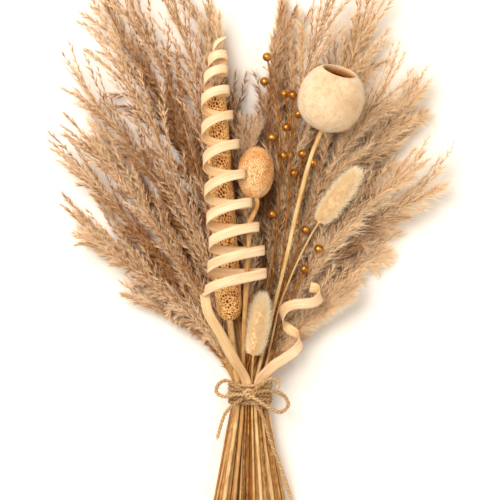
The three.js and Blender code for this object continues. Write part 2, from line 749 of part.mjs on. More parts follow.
function berrySpray({ slot, seed, twig, berries }) {
  const path = route([...decorFoot(slot, seed), [slot, 14, DECOR_ROW_HEIGHT + 0.3],
    ...twig.map(([x, y]) => [x, y, lyingOn(x, y, TWIG_CLEARANCE)])]);
  const pieces = [bentLathe(path, plainProfile(12, TWIG_RADIUS, TWIG_END_RADIUS), 3)];
  for (const [x, y, share] of berries) {
    const berry = new THREE.Vector3(x, y, lyingOn(x, y, BERRY_RADIUS));
    const fork = path(Math.min(share, 0.985) - 0.03);
    const bow = fork.clone().lerp(berry, 0.5).add(new THREE.Vector3(0, 1.5, 0.6));
    const branch = route([fork, bow, berry].map((point) => point.toArray()));
    pieces.push(bentLathe(branch, plainProfile(2, TWIG_END_RADIUS), 3));
    const body = new THREE.SphereGeometry(BERRY_RADIUS, 6, 5);
    body.translate(berry.x, berry.y, berry.z);
    pieces.push(body);
  }
  return joined(pieces);
}

// Jute twine

/** A point of the flattened oval that the twine follows round the stems. */
function wrapPoint(turn) {
  const power = 2 / WRAP_SQUARENESS;
  const c = Math.cos(turn);
  const s = Math.sin(turn);
  return new THREE.Vector3(WRAP_HALF_WIDTH * Math.sign(c) * Math.abs(c) ** power, 0,
    WRAP_MIDDLE_HEIGHT + WRAP_HALF_HEIGHT * Math.sign(s) * Math.abs(s) ** power);
}

function wraps() {
  const path = (share) => {
    const point = wrapPoint((0.5 + 2 * WRAP_TURNS * share) * Math.PI);
    point.y = mix(-0.5, 0.5, share) * WRAP_TURNS * WRAP_PITCH + WRAP_SHIFT;
    return point;
  };
  return bentLathe(path, plainProfile(11 * WRAP_TURNS, TWINE_RADIUS), 4, [0, 1, 0]);
}

const TIE_TOP = WRAP_MIDDLE_HEIGHT + WRAP_HALF_HEIGHT + TWINE_RADIUS;

const LOOPS = [
  [[0, 1, 33.5], [-10, 6.5, 34], [-20, 12.5, 33], [-27, 9.5, 30], [-29, 3, 29], [-24, -1, 31],
    [-12, 0.5, 34], [0, 1, 34.5]],
  [[0, 1, 34], [10, 3.5, 35], [20, 3.6, 33], [28.5, 0, 31], [33, -8, 29.5], [27, -14.6, 30],
    [17, -11, 32.5], [8, -5, 34.5], [0, 0, 34.5]],
  [[2, 3, 34.5], [10, 10, 36], [18, 14.5, 36.5], [24.5, 12, 35.5], [24, 6.5, 35]],
];

function knot() {
  const path = (share) => {
    const turn = share * Math.PI * 2 * KNOT_TURNS;
    return new THREE.Vector3(KNOT_CENTRE[0] + KNOT_HALF_WIDTH * Math.cos(turn),
      KNOT_CENTRE[1] + KNOT_HALF_HEIGHT * Math.sin(turn), TIE_TOP + mix(...KNOT_RISE, share));
  };
  return bentLathe(path, plainProfile(14, TWINE_RADIUS), 5);
}

function twineBow() {
  const pieces = [wraps(), knot()];
  LOOPS.forEach((points) => {
    const steps = Math.round(points.length * 1.6);
    pieces.push(bentLathe(route(points), plainProfile(steps, LOOSE_TWINE_RADIUS), 4));
  });
  return joined(pieces);
}

const TAILS = [
  {
    name: "twine_tail_left",
    points: [[-6.1, -2.9, 33.3], [-14, -8.4, 33.2], [-20, -14, 31], [-23.5, -21, 28], [-26, -29, 25.5],
      [-28.5, -38, 24.5]],
  },
  {
    name: "twine_tail_right",
    points: [[3.6, -5.9, 32.6], [9.5, -15, 29.6], [13.6, -27, 29.4], [17.2, -38, 29.4],
      [21.2, -49, 28.2], [25.6, -60, 23.6], [29.6, -71.5, 17.4], [33.2, -83, 11.8],
      [36, -93, 8]],
  },
];

function twineTail({ points }) {
  return solidOf(bentLathe(route(points), plainProfile(points.length, LOOSE_TWINE_RADIUS), 8));
}

// Assembly

function named(name, solid, colour, roughness = 0.8, metalness = 0) {
  const mesh = new THREE.Mesh(geometryOf(solid),
    new THREE.MeshStandardMaterial({ color: colour, roughness, metalness }));
  mesh.name = name;
  return mesh;
}

function bouquet() {
  const group = new THREE.Group();
  LAYERS.forEach((layer, layerNumber) => {
    for (let index = 0; index < layer.count; index += 1) {
      group.add(named(`plume_${layer.name}_${index + 1}`, plumeSolid(layer, layerNumber, index),
        COLOURS.plume, 0.9));
    }
  });
  group.add(named("cob", withSocket(cob(), COB_STEM), COLOURS.cob));
  group.add(named("cob_stem", solidOf(roundStem(COB_STEM)), COLOURS.straw));
  group.add(named("sponge_ball", withSocket(ball(), BALL_STEM), COLOURS.ball));
  group.add(named("ball_stem", solidOf(roundStem(BALL_STEM)), COLOURS.straw));
  group.add(named("gourd_cup", withSocket(cup(), CUP_STEM), COLOURS.cup, 0.7));
  group.add(named("cup_stem", solidOf(roundStem(CUP_STEM)), COLOURS.straw));
  group.add(named("spiral_ribbon", spiralRibbon(), COLOURS.ribbon, 0.6));
  group.add(named("curl_ribbon", curlRibbon(), COLOURS.ribbon, 0.6));
  HARE_TAILS.forEach((tail) => group.add(named(tail.name, hareTail(tail), COLOURS.hare, 0.95)));
  SPRAYS.forEach((spray) => group.add(named(spray.name, berrySpray(spray), COLOURS.berry, 0.35, 0.8)));
  group.add(named("twine_bow", twineBow(), COLOURS.jute, 0.95));
  TAILS.forEach((tail) => group.add(named(tail.name, twineTail(tail), COLOURS.jute, 0.95)));
  return group;
}

const model = bouquet();
const box = new THREE.Box3().setFromObject(model);
model.position.set(-(box.min.x + box.max.x) / 2, -(box.min.y + box.max.y) / 2, -box.min.z);
model.updateMatrixWorld(true);

export default model;
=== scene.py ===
"""Dried bouquet: pampas plumes with a few filler stems, tied with jute twine, lying down.

Shapes are worked out in millimetres from the middle of the tie, with the stems along -Y and
the plumes along +Y, and are moved into the row frame, in metres, when a mesh is made. A pair
of numbers is the least and the most of a draw, or where a value starts and ends.
"""

import math

import bpy
import numpy as np
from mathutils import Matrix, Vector, noise
from mathutils.kdtree import KDTree


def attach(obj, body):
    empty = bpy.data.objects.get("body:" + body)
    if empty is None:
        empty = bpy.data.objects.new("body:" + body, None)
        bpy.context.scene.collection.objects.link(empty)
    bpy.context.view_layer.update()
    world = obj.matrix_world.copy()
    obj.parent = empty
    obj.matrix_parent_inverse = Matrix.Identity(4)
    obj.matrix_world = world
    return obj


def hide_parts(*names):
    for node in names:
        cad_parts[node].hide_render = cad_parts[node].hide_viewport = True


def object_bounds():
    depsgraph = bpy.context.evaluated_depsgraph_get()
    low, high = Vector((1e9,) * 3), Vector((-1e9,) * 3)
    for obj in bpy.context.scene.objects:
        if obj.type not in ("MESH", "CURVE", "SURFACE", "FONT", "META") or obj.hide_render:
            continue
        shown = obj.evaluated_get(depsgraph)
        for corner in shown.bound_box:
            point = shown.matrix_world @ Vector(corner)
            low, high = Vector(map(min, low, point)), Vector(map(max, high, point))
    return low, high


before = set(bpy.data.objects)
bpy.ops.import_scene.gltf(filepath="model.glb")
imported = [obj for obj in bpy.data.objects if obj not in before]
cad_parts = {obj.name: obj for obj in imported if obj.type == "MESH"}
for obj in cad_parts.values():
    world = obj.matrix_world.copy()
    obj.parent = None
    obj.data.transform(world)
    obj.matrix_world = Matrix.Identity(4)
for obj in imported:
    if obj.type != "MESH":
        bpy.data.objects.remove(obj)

cad_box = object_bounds()

# View of the photograph
PHOTO_PIXELS = 500
MILLIMETRES_PER_PIXEL = 0.85
VIEW_CENTRE = (0.0, 124.9)
VIEW_PLANE_HEIGHT = 60
LENS = 200
SENSOR = 36

# Layers of plumes, from the floor up
LAYERS = [
    {"name": "back", "count": 8, "spread": 52, "droop": 1.4, "cut_end_height": 2.25,
     "reaches": (0.98, 0.88, 1.08, 0.94, 0.94, 0.95, 0.975, 0.94),
     "branches": 50, "bushiness": 3.1, "hair_radius": 0.42, "shade": 0.8},
    {"name": "middle", "count": 10, "spread": 57, "droop": 1, "cut_end_height": 9.6,
     "reaches": (0.94, 0.995, 1.01, 1.06, 0.91, 0.92, 1.05, 1, 1.08, 0.62),
     "branches": 40, "bushiness": 2.2, "hair_radius": 0.25, "shade": 0.46},
    {"name": "front", "count": 9, "spread": 54, "droop": 1, "cut_end_height": 18.2,
     "reaches": (1.02, 0.95, 0.98, 1.03, 0.66, 1.05, 0.97, 0.965, 0.84),
     "branches": 38, "bushiness": 1.8, "hair_radius": 0.17, "shade": 0.02},
]

# Fan of plumes, with pairs for its left and its right
STEM_PITCH = 3.0
STEM_RADIUS = 1.25
CUT_END_RADIUS = 2.2
STEM_LENGTH = 148
STEM_LENGTH_SPREAD = 16
STEM_FLARE = 3
TIE_HALF_LENGTH = 10
FAN_RADII = (375, 366)
FAN_FALL_ANGLES = (47, 43)
FAN_FLAT_ANGLE = 9
FAN_FALL_POWER = 1.7
FAN_LEAST = 0.15
FAN_BEND = 0.45
FAN_BOW = 0.42
FAN_LOW_START = 11.9
FAN_LOW_SLOPE = 0.115
FAN_TOP_START = 21.3
FAN_TOP_SLOPE = 0.14
FAN_TOP_HIGHEST = 57
FAN_TIE_RADIUS = 18
GAP = 0.35

# Plume heads, with angles in degrees and starts as shares of the reach
SWAY = 1.1
SWAY_TURNS = 1.1
HEAD_STARTS = (0.36, 0.14)
HEAD_ANGLES = (12, 26)
FLUFF_START = 0.6
LAST_BRANCH_START = 0.86
CELL_USE = (0.6, 0.78)
TIP_TAPER = 1.5
LEAST_TAPER = 0.02
TIP_CLEARANCE = 1.05
GOLDEN_TURN = 2.39996
CENTRE_BUSHINESS = 2.4
EDGE_BUSHINESS = 0.7
EDGE_ANGLES = (24, 36)
GAP_BUSHINESS = 0.5
GAP_ANGLES = (7, 11)
GAP_STARTS = (0.5, 0.7)
BRANCH_CROWDING = 0.72
BRANCH_LENGTHS = (0.11, 0.21)
BRANCH_BOWS = (0.8, 1.5)
BRANCH_RADII = (0.5, 0.2)
BRANCH_TONE_SPREAD = 0.16
SPIKELETS = 21
FIRST_SPIKELET = 0.04
SPIKELET_OPENINGS = (9, 30)
SPIKELET_LENGTHS = (4.6, 7.4)
SPIKELET_RADII = (0.5, 0.82)
SPIKELET_STALK = 0.8
SPIKELET_TONE_SPREAD = 0.14
HAIRS_PER_SPIKELET = 5
HAIR_OPENINGS = (2, 30)
HAIR_SWING = 0.7
HAIR_STARTS = (0, 0.6)
HAIR_LENGTHS = (6, 12)
FLUFF = (0.8, 1.2)
FLUFF_ANGLES = (-12, 20)
SHADED_REACH = (0.6, 0.92)
TONE_LIMITS = (0.02, 0.98)
BLADES = 5
LOOSE_STRAWS = 2
FLOOR_CLEARANCE = 1.5
SOFT_EDGE = 7

# Cob, ball and cup
STEM_END = 0.997
DECOR_ROW_HEIGHT = 23.3
DECOR_CUT_HEIGHT = 26
COB_ENDS = ((-17, 64.6), (-29.8, 259.3))
COB_RADII = (11.6, 9.4)
COB_BLUNTNESS = 18
COB_PITS = {"rows": 250, "columns": 92, "spacing": 3.4, "pit": 2}
BALL_CENTRE = (4.8, 190.6)
BALL_RADIUS = 15.7
BALL_HALF_LENGTH = 22.5
BALL_LEAN = 1.2
BALL_PITS = {"rows": 100, "columns": 120, "spacing": 1.5, "pit": 0.45}
PIT_WALL = (0.06, 0.44)
CUP_CENTRE = (68.4, 252.5)
CUP_RADIUS = 27.6
CUP_HALF_LENGTH = 28
CUP_MOUTH_HEIGHT = 24
CUP_MOUTH_RADIUS = 14
CUP_WALL = 3.4
CUP_LIP = 0.9
CUP_SWELL = 2.3
CUP_LEAN = 17
CUP_TILT = 20
CUP_COLUMNS = 110

# Ribbons, hare's tails, berries and twine
RIBBON_WIDTH = 8.8
RIBBON_THICKNESS = 0.8
RIBBON_GRAIN_LENGTH = 2300
SPIRAL_TURNS = 10.5
SPIRAL_SLANTS = (3.2, -0.4)
SPIRAL_TILTS = (2.4, 4.6)
SPIRAL_TILT_END = 0.35
SPIRAL_HALF_WIDTHS = (26.5, 5)
SPIRAL_DEPTHS = (13.5, 5)
SPIRAL_COB_ROOM = 1.04
SPIRAL_HEAD_WIDTH = 0.82
SPIRAL_TAIL_SHARE = 0.1
SPIRAL_POINT = 0.08
SPIRAL_RISE_FROM = 0.94
SPIRAL_LAST_RISE = 9
HARE_HAIRS = 7000
HARE_HAIR_RADIUS = 0.17
HARE_CORE = 0.62
HARE_HEAD_END = 0.93
HARE_ROUNDNESS = 2.6
HARE_STEM_RADIUS = 0.9
TWIGLETS = 24
BERRY_RADIUS = 3.85
BERRY_ROWS, BERRY_COLUMNS = 15, 20
TWIG_RADII = (0.8, 0.6)
TWIG_CLEARANCE = 2
TWINE_RADIUS = 1.75
WRAP_TURNS = 4.5
WRAP_PITCH = 3.75
WRAP_HALF_WIDTH = 17.6
WRAP_HALF_HEIGHT = 10.3
WRAP_MIDDLE_HEIGHT = 19.4
WRAP_SQUARENESS = 3
WRAP_SHIFT = 1.5
STRAND_RADIUS = 0.92
STRAND_SWELL = (0.9, 1.05)
STRAND_OFFSET = 0.8
STRAND_PITCH = 7
FUZZ_RADIUS = 0.14
FUZZ_ROOT = 1.2

UP = np.array([0.0, 0.0, 1.0])
SPINDLE_WAIST = 0.4
NEEDLE_FACES = [[0, 2, 1], [0, 1, 3], [1, 2, 3], [2, 0, 3]]
SPINDLE_FACES = [[0, 2, 1], [0, 3, 2], [0, 1, 3], [4, 1, 2], [4, 2, 3], [4, 3, 1]]


# Small maths

def mix(low, high, share):
    return low + (high - low) * share


def draw(seed, purpose):
    """A repeatable draw between 0 and 1 for two whole numbers."""
    wave = math.sin(seed * 12.9898 + purpose * 78.233 + 4.1) * 43758.5453
    return wave - math.floor(wave)


def unit(vectors):
    return vectors / np.maximum(np.linalg.norm(vectors, axis=-1, keepdims=True), 1e-9)


def smoothstep(values, low, high):
    share = np.clip((values - low) / (high - low), 0, 1)
    return share * share * (3 - 2 * share)


def plume_seed(number, index):
    return 10 * number + index + 1


def cut_length(seed):
    return STEM_LENGTH + STEM_LENGTH_SPREAD * (draw(seed, 3) - 0.5)


def tie_middle():
    """The middle of the tie in the row frame, in millimetres, from the straight middle stem."""
    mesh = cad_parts["plume_front_5"].data
    places = np.array([vertex.co[:] for vertex in mesh.vertices]) * 1000
    cut_end = places[places[:, 1] < places[:, 1].min() + 0.01]
    x = (cut_end[:, 0].min() + cut_end[:, 0].max()) / 2
    return np.array([x, cut_end[0, 1] + cut_length(plume_seed(2, 4)), 0])


TIE_MIDDLE = tie_middle()


def metres(points):
    """Points of the tie's own millimetres, in the row frame in metres."""
    return (np.asarray(points, float) + TIE_MIDDLE) * 0.001


# Paths

def catmull_rom(points, shares):
    """A centripetal curve through the points, at shares of its segments."""
    points = np.asarray(points, float)
    ends = [2 * points[0] - points[1], 2 * points[-1] - points[-2]]
    points = np.vstack([ends[0], points, ends[1]])
    segments = len(points) - 3
    place = np.clip(np.asarray(shares, float), 0, 1) * segments
    index = np.minimum(place.astype(int), segments - 1)
    t = (place - index)[:, None]
    p0, p1, p2, p3 = (points[index + step] for step in range(4))
    d0, d1, d2 = (np.sqrt(np.linalg.norm(b - a, axis=1))[:, None]
                  for a, b in ((p0, p1), (p1, p2), (p2, p3)))
    leave = ((p1 - p0) / d0 - (p2 - p0) / (d0 + d1) + (p2 - p1) / d1) * d1
    arrive = ((p2 - p1) / d1 - (p3 - p1) / (d1 + d2) + (p3 - p2) / d2) * d1
    return (p1 + leave * t + (3 * (p2 - p1) - 2 * leave - arrive) * t ** 2
            + (2 * (p1 - p2) + leave + arrive) * t ** 3)


def lengths_along(line):
    """The length of a line up to each of its points."""
    return np.concatenate([[0], np.cumsum(np.linalg.norm(np.diff(line, axis=0), axis=1))])


def route(points):
    """A curve through chosen points, as a function of the share of its length."""
    fine = catmull_rom(points, np.linspace(0, 1, 100 * len(points)))
    lengths = lengths_along(fine)
    lengths /= lengths[-1]
    return lambda shares: np.stack(
        [np.interp(np.clip(shares, 0, 1), lengths, fine[:, k]) for k in range(3)], axis=-1)


def travelling_frames(line):
    """Tangents and two directions square to them that turn as little as possible."""
    along = unit(np.gradient(line, axis=0))
    first = UP if abs(along[0][2]) < 0.9 else np.array([1.0, 0, 0])
    side = unit(np.cross(along[0], first))
    sides = [side]
    for tangent in along[1:]:
        side = unit(side - tangent * np.dot(side, tangent))
        sides.append(side)
    sides = np.array(sides)
    return along, sides, np.cross(sides, along)


def square_directions(along):
    """Two directions square to a tangent, or to each of many."""
    side = unit(np.cross(along, UP))
    return side, np.cross(side, along)


def turns(count):
    return np.linspace(0, math.tau, count, endpoint=False)


def around(side, lift, turn):
    """The direction at a turn from one direction towards another."""
    return side * np.cos(turn)[..., None] + lift * np.sin(turn)[..., None]


def rings(line, out, radii):
    """Points round a line, ring after ring."""
    radii = np.broadcast_to(radii, len(line))
    return (line[:, None] + out * radii[:, None, None]).reshape(-1, 3)


# Fan of plumes

def cell_angle(layer):
    """Half the angle between two plumes of a layer."""
    return math.radians(layer["spread"] / layer["count"])


def fan_radius(angle):
    """How far from the tie the plume tips reach in a direction."""
    turned = np.degrees(angle)
    right = smoothstep(turned, -FAN_FLAT_ANGLE, FAN_FLAT_ANGLE)
    off = np.maximum(np.abs(turned) - FAN_FLAT_ANGLE, 0) / mix(*FAN_FALL_ANGLES, right)
    return mix(*FAN_RADII, right) * np.sqrt(np.maximum(1 - off ** FAN_FALL_POWER, FAN_LEAST))


def sway(seed, share):
    """How far a plume strays sideways from a straight direction, at a share of its reach."""
    wave = np.sin(math.tau * (SWAY_TURNS * share + draw(seed, 14)))
    return math.radians(SWAY) * wave * smoothstep(share, 0, 0.4)


def head_start(number, centre):
    """Where a plume's head starts: the upper plumes in the middle have longer bare stems."""
    outer = 1 if number == 0 else smoothstep(abs(math.degrees(centre)), *HEAD_ANGLES)
    return mix(*HEAD_STARTS, outer)


def past_tie(distance):
    return np.maximum(distance - FAN_TIE_RADIUS, 0)


def fan_low(distance):
    return np.maximum(FAN_LOW_START - FAN_LOW_SLOPE * past_tie(distance), 0)


def fan_top(distance):
    return np.minimum(FAN_TOP_START + FAN_TOP_SLOPE * past_tie(distance), FAN_TOP_HIGHEST)


def lying_on(x, y, radius):
    """Height at which a round thing of this radius lies on the fan."""
    return float(fan_top(math.hypot(x, y))) + radius + GAP


def lying_at(place, radius):
    return np.array([*place, lying_on(*place, radius)])


def slot_x(layer, angle):
    return angle / (2 * cell_angle(layer)) * STEM_PITCH


def fan_points(layer, angle, depth, share):
    """Points of the fan: angle from +Y, depth 0 at the floor to 1 on top, share of the reach."""
    reach = fan_radius(angle)[..., None]
    foot = slot_x(layer, angle)
    bend = FAN_BEND * angle
    start = np.stack([foot, np.full_like(foot, TIE_HALF_LENGTH)], -1)
    knee = start + FAN_BOW * reach * np.stack([np.sin(bend), np.cos(bend)], -1)
    end = reach * np.stack([np.sin(angle), np.cos(angle)], -1)
    s = share[..., None]
    flat = (1 - s) ** 2 * start + 2 * s * (1 - s) * knee + s ** 2 * end
    distance = np.linalg.norm(flat, axis=-1)
    return np.concatenate([flat, mix(fan_low(distance), fan_top(distance), depth)[..., None]], -1)


def stem_points(foot, tie_height, cut_height, y):
    """Points of a stem below the tie, spreading towards its cut end."""
    spread = np.maximum(-y - TIE_HALF_LENGTH, 0) / STEM_LENGTH
    return np.stack([foot * mix(1, STEM_FLARE, spread), y, mix(tie_height, cut_height, spread)], -1)


def decor_foot(x, seed):
    """Points of a filler stem below and inside the tie."""
    length = cut_length(seed)
    y = np.array([-length, -length / 2, -TIE_HALF_LENGTH - 4, 5])
    return stem_points(x, DECOR_ROW_HEIGHT, DECOR_CUT_HEIGHT, y).tolist()


# Meshes

class Batch:
    """Points, triangles and paint values that become one mesh."""

    def __init__(self):
        self.points, self.triangles, self.paint, self.kinds, self.count = [], [], [], [], 0

    def add(self, points, triangles, paint, kind=0):
        self.points.append(points)
        self.triangles.append(np.asarray(triangles) + self.count)
        self.paint.append(paint)
        self.kinds.append(np.full(len(triangles), kind))
        self.count += len(points)


def grid_triangles(rows, columns):
    """Triangles of a grid whose columns close on themselves."""
    row, column = np.meshgrid(np.arange(rows - 1), np.arange(columns), indexing="ij")
    a = (row * columns + column).ravel()
    b = (row * columns + (column + 1) % columns).ravel()
    return np.vstack([np.stack([a, b, b + columns], 1), np.stack([a, b + columns, a + columns], 1)])


def closed_triangles(rows, columns):
    """Triangles of a grid of rings, and fans from the two points after it to its ends."""
    step = np.arange(columns)
    after = (step + 1) % columns
    base, middle = (rows - 1) * columns, np.full(columns, rows * columns)
    return np.vstack([grid_triangles(rows, columns), np.stack([middle, after, step], 1),
                      np.stack([middle + 1, base + step, base + after], 1)])


def add_body(batch, skin, ends, rows):
    """A closed body of rings with a point at each end, with its paint spread evenly over it."""
    columns = len(skin) // rows
    u, v = np.meshgrid(np.linspace(0, 1, columns), np.linspace(0, 1, rows))
    paint = np.vstack([np.stack([u.ravel(), v.ravel()], 1), [[0.5, 0], [0.5, 1]]])
    batch.add(np.vstack([skin, ends]), closed_triangles(rows, columns), paint)


def add_tube(batch, line, radii, sides, tone=0.5, kind=0, v_range=(0, 1)):
    """A round tube with closed ends along a line."""
    _, side, lift = travelling_frames(line)
    turn = turns(sides)
    skin = rings(line, around(side[:, None], lift[:, None], turn), radii)
    u = np.tile(tone + 0.02 * np.cos(turn), len(line))
    v = np.repeat(np.linspace(*v_range, len(line)), sides)
    paint = np.vstack([np.stack([u, v], 1), [[tone, end] for end in v_range]])
    batch.add(np.vstack([skin, line[[0, -1]]]), closed_triangles(len(line), sides), paint, kind)


def add_slivers(batch, root, tip, radius, tone, kind=0, waist=0):
    """Many three-sided needles, wide at the root, or spindles if they have a waist."""
    root, tip, tone = root.reshape(-1, 3), tip.reshape(-1, 3), tone.ravel()
    side, lift = square_directions(unit(tip - root))
    ring = around(side[:, None], lift[:, None], turns(3))
    parts = [rings(mix(root, tip, waist), ring, radius).reshape(-1, 3, 3), tip[:, None]]
    faces, u, v = NEEDLE_FACES, [-0.01, 0.01, 0, 0], [waist, waist, waist, 1]
    if waist:
        parts, faces, u, v = [root[:, None], *parts], SPINDLE_FACES, [0, *u], [0, *v]
    triangles = np.arange(len(root))[:, None, None] * len(u) + np.array(faces)
    paint = np.stack([(tone[:, None] + np.array(u)).ravel(), np.tile(v, len(root))], 1)
    batch.add(np.concatenate(parts, 1).reshape(-1, 3), triangles.reshape(-1, 3), paint, kind)


def uneven(points, scale):
    return np.array([noise.noise(Vector(point * scale)) for point in points])


def add_object(name, data):
    made = bpy.data.objects.new(name, data)
    bpy.context.scene.collection.objects.link(made)
    return made


def make_piece(node_name, ending, batch, materials, smooth=True, depth=None):
    """A mesh object from a batch that rides on the bouquet in place of its node."""
    name = f"{node_name}_{ending}"
    points = metres(np.vstack(batch.points))
    triangles = np.vstack(batch.triangles)
    corners = triangles.ravel()
    mesh = bpy.data.meshes.new(name)
    mesh.vertices.add(len(points))
    mesh.loops.add(len(corners))
    mesh.polygons.add(len(triangles))
    for target, key, values in (
            (mesh.vertices, "co", points.astype(np.float32)),
            (mesh.loops, "vertex_index", corners.astype(np.int32)),
            (mesh.polygons, "loop_start", np.arange(0, len(corners), 3, dtype=np.int32)),
            (mesh.polygons, "material_index", np.concatenate(batch.kinds).astype(np.int32)),
            (mesh.polygons, "use_smooth", np.full(len(triangles), smooth))):
        target.foreach_set(key, values.ravel())
    paint = np.vstack(batch.paint)[corners].astype(np.float32)
    mesh.uv_layers.new(name="OFBake").data.foreach_set("uv", paint.ravel())
    if depth is not None:
        attribute = mesh.attributes.new("depth", "FLOAT", "POINT")
        attribute.data.foreach_set("value", depth.astype(np.float32))
    mesh.update(calc_edges=True)
    for material in materials:
        mesh.materials.append(material)
    piece = add_object(name, mesh)
    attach(piece, "root")
    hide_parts(node_name)
    return piece


# Materials, with colours as they show on a screen, 0 to 255

WHITE = (255, 255, 255)
DEPTH = "depth"


def srgb(red, green, blue):
    """A colour in the linear values that shaders use."""
    return [(c / 12.92 if c <= 0.04045 else ((c + 0.055) / 1.055) ** 2.4)
            for c in (red / 255, green / 255, blue / 255)] + [1]


def new_material(name, roughness, **inputs):
    material = bpy.data.materials.new(name)
    material.use_nodes = True
    shader = material.node_tree.nodes["Principled BSDF"]
    shader.inputs["Roughness"].default_value = roughness
    for key, value in inputs.items():
        shader.inputs[key.replace("_", " ")].default_value = value
    return material, material.node_tree, shader


def node(tree, kind, **settings):
    made = tree.nodes.new(kind)
    for key, value in settings.items():
        if key in made.inputs:
            made.inputs[key].default_value = value
        else:
            setattr(made, key, value)
    return made


def ramp(tree, source, *stops):
    """A colour ramp read from a socket. A stop is its position, red, green and blue."""
    made = tree.nodes.new("ShaderNodeValToRGB")
    elements = made.color_ramp.elements
    while len(elements) < len(stops):
        elements.new(0.5)
    for element, (position, *colour) in zip(elements, stops):
        element.position = position
        element.color = srgb(*colour)
    tree.links.new(source, made.inputs["Fac"])
    return made.outputs["Color"]


def blend(tree, factor, first, second, mode="MIX"):
    made = node(tree, "ShaderNodeMix", data_type="RGBA", blend_type=mode)
    for socket, value in ((made.inputs["Factor"], factor), (made.inputs[6], first),
                          (made.inputs[7], second)):
        if isinstance(value, (int, float, list)):
            socket.default_value = value
        else:
            tree.links.new(value, socket)
    return made.outputs[2]


def stained(tree, colours, factor, source, *stops):
    """Colours multiplied by a ramp, as far as the factor says."""
    return blend(tree, factor, colours, ramp(tree, source, *stops), "MULTIPLY")


def bump(tree, height, distance, strength, shader):
    made = node(tree, "ShaderNodeBump", Strength=strength, Distance=distance)
    tree.links.new(height, made.inputs["Height"])
    tree.links.new(made.outputs["Normal"], shader.inputs["Normal"])


def paint_values(tree):
    """The mesh's own paint values, whole, and split into tone across and position along."""
    source = node(tree, "ShaderNodeUVMap", uv_map="OFBake").outputs["UV"]
    split = tree.nodes.new("ShaderNodeSeparateXYZ")
    tree.links.new(source, split.inputs["Vector"])
    return source, split.outputs["X"], split.outputs["Y"]


def noise_value(tree, vector, scale, detail=3, roughness=0.55):
    made = node(tree, "ShaderNodeTexNoise", Scale=scale, Detail=detail, Roughness=roughness)
    tree.links.new(vector, made.inputs["Vector"])
    return made.outputs["Fac"]


def stretched_noise(tree, vector, stretch, *settings):
    made = node(tree, "ShaderNodeMapping", Scale=stretch)
    tree.links.new(vector, made.inputs["Vector"])
    return noise_value(tree, made.outputs["Vector"], *settings)


def fibre_material(name, dark, light):
    """Plume fibre: darker at the root, partly its own colour and partly painted shade deep among
    the fibres, paler at the tip, with a tone for every hair.
    """
    material, tree, shader = new_material(name, 0.8, Specular_IOR_Level=0.05)
    _, tone, along = paint_values(tree)
    # the darker root colours are partly the fibre's own and partly painted shade
    low, high = (ramp(tree, along, (0, *root), (0.45, *middle), (1, *tip))
                 for root, middle, tip in (dark, light))
    tree.links.new(blend(tree, tone, low, high), shader.inputs["Base Color"])
    return material


def straw_material(name, dark, light):
    """Dry stem: a tone of its own, streaked along its length and blotched."""
    material, tree, shader = new_material(name, 0.5, Specular_IOR_Level=0.3)
    vector, tone, _ = paint_values(tree)
    blotches = stretched_noise(tree, vector, (3, 9, 1), 2.2)
    streaks = stretched_noise(tree, vector, (60, 14, 1), 3)
    colours = blend(tree, tone, srgb(*dark), srgb(*light))
    colours = stained(tree, colours, 0.55, blotches, (0.32, 206, 156, 92), (0.6, *WHITE))
    colours = stained(tree, colours, 0.5, streaks, (0.33, 150, 100, 44), (0.56, *WHITE))
    tree.links.new(colours, shader.inputs["Base Color"])
    return material


def shaving_material():
    """Wood shaving: fine grain along the strip, and painted shade on its inner face."""
    material, tree, shader = new_material("wood_shaving", 0.5, Sheen_Weight=0.1)
    vector, across, _ = paint_values(tree)
    grain = stretched_noise(tree, vector, (60, 24, 1), 2.4, 5, 0.6)
    patches = stretched_noise(tree, vector, (2, 30, 1), 1.2)
    colours = ramp(tree, grain, (0.34, 186, 134, 78), (0.47, 228, 194, 146), (0.64, 247, 230, 204))
    colours = stained(tree, colours, 0.5, patches, (0.35, 226, 188, 136), (0.6, *WHITE))
    # painted shade: the inner face, the second half of the paint across, is a little darker
    colours = stained(tree, colours, 1.0, across, (0.48, *WHITE), (0.52, 255, 246, 230))
    tree.links.new(colours, shader.inputs["Base Color"])
    bump(tree, grain, 0.0002, 0.4, shader)
    return material


def skin_material(name, roughness, base, stains, relief, **inputs):
    """A skin coloured by ramps over DEPTH, or over noise with the settings in a tuple.

    base is a source and its stops, a stain has its factor before them, and relief is a
    source, its height in metres and its strength.
    """
    material, tree, shader = new_material(name, roughness, **inputs)
    place = tree.nodes.new("ShaderNodeTexCoord").outputs["Object"]

    def value(source):
        if source == DEPTH:
            return node(tree, "ShaderNodeAttribute", attribute_name=DEPTH).outputs["Fac"]
        return noise_value(tree, place, *source)

    colours = ramp(tree, value(base[0]), *base[1:])
    for factor, source, *stops in stains:
        colours = stained(tree, colours, factor, value(source), *stops)
    tree.links.new(colours, shader.inputs["Base Color"])
    source, distance, strength = relief
    bump(tree, value(source), distance, strength, shader)
    return material


def gold_material(name, roughness, metallic, dark, middle, light):
    return skin_material(name, roughness, [(260,), (0.3, *dark), (0.55, *middle), (0.75, *light)],
                         [], [(900,), 0.0003, 0.3], Metallic=metallic)
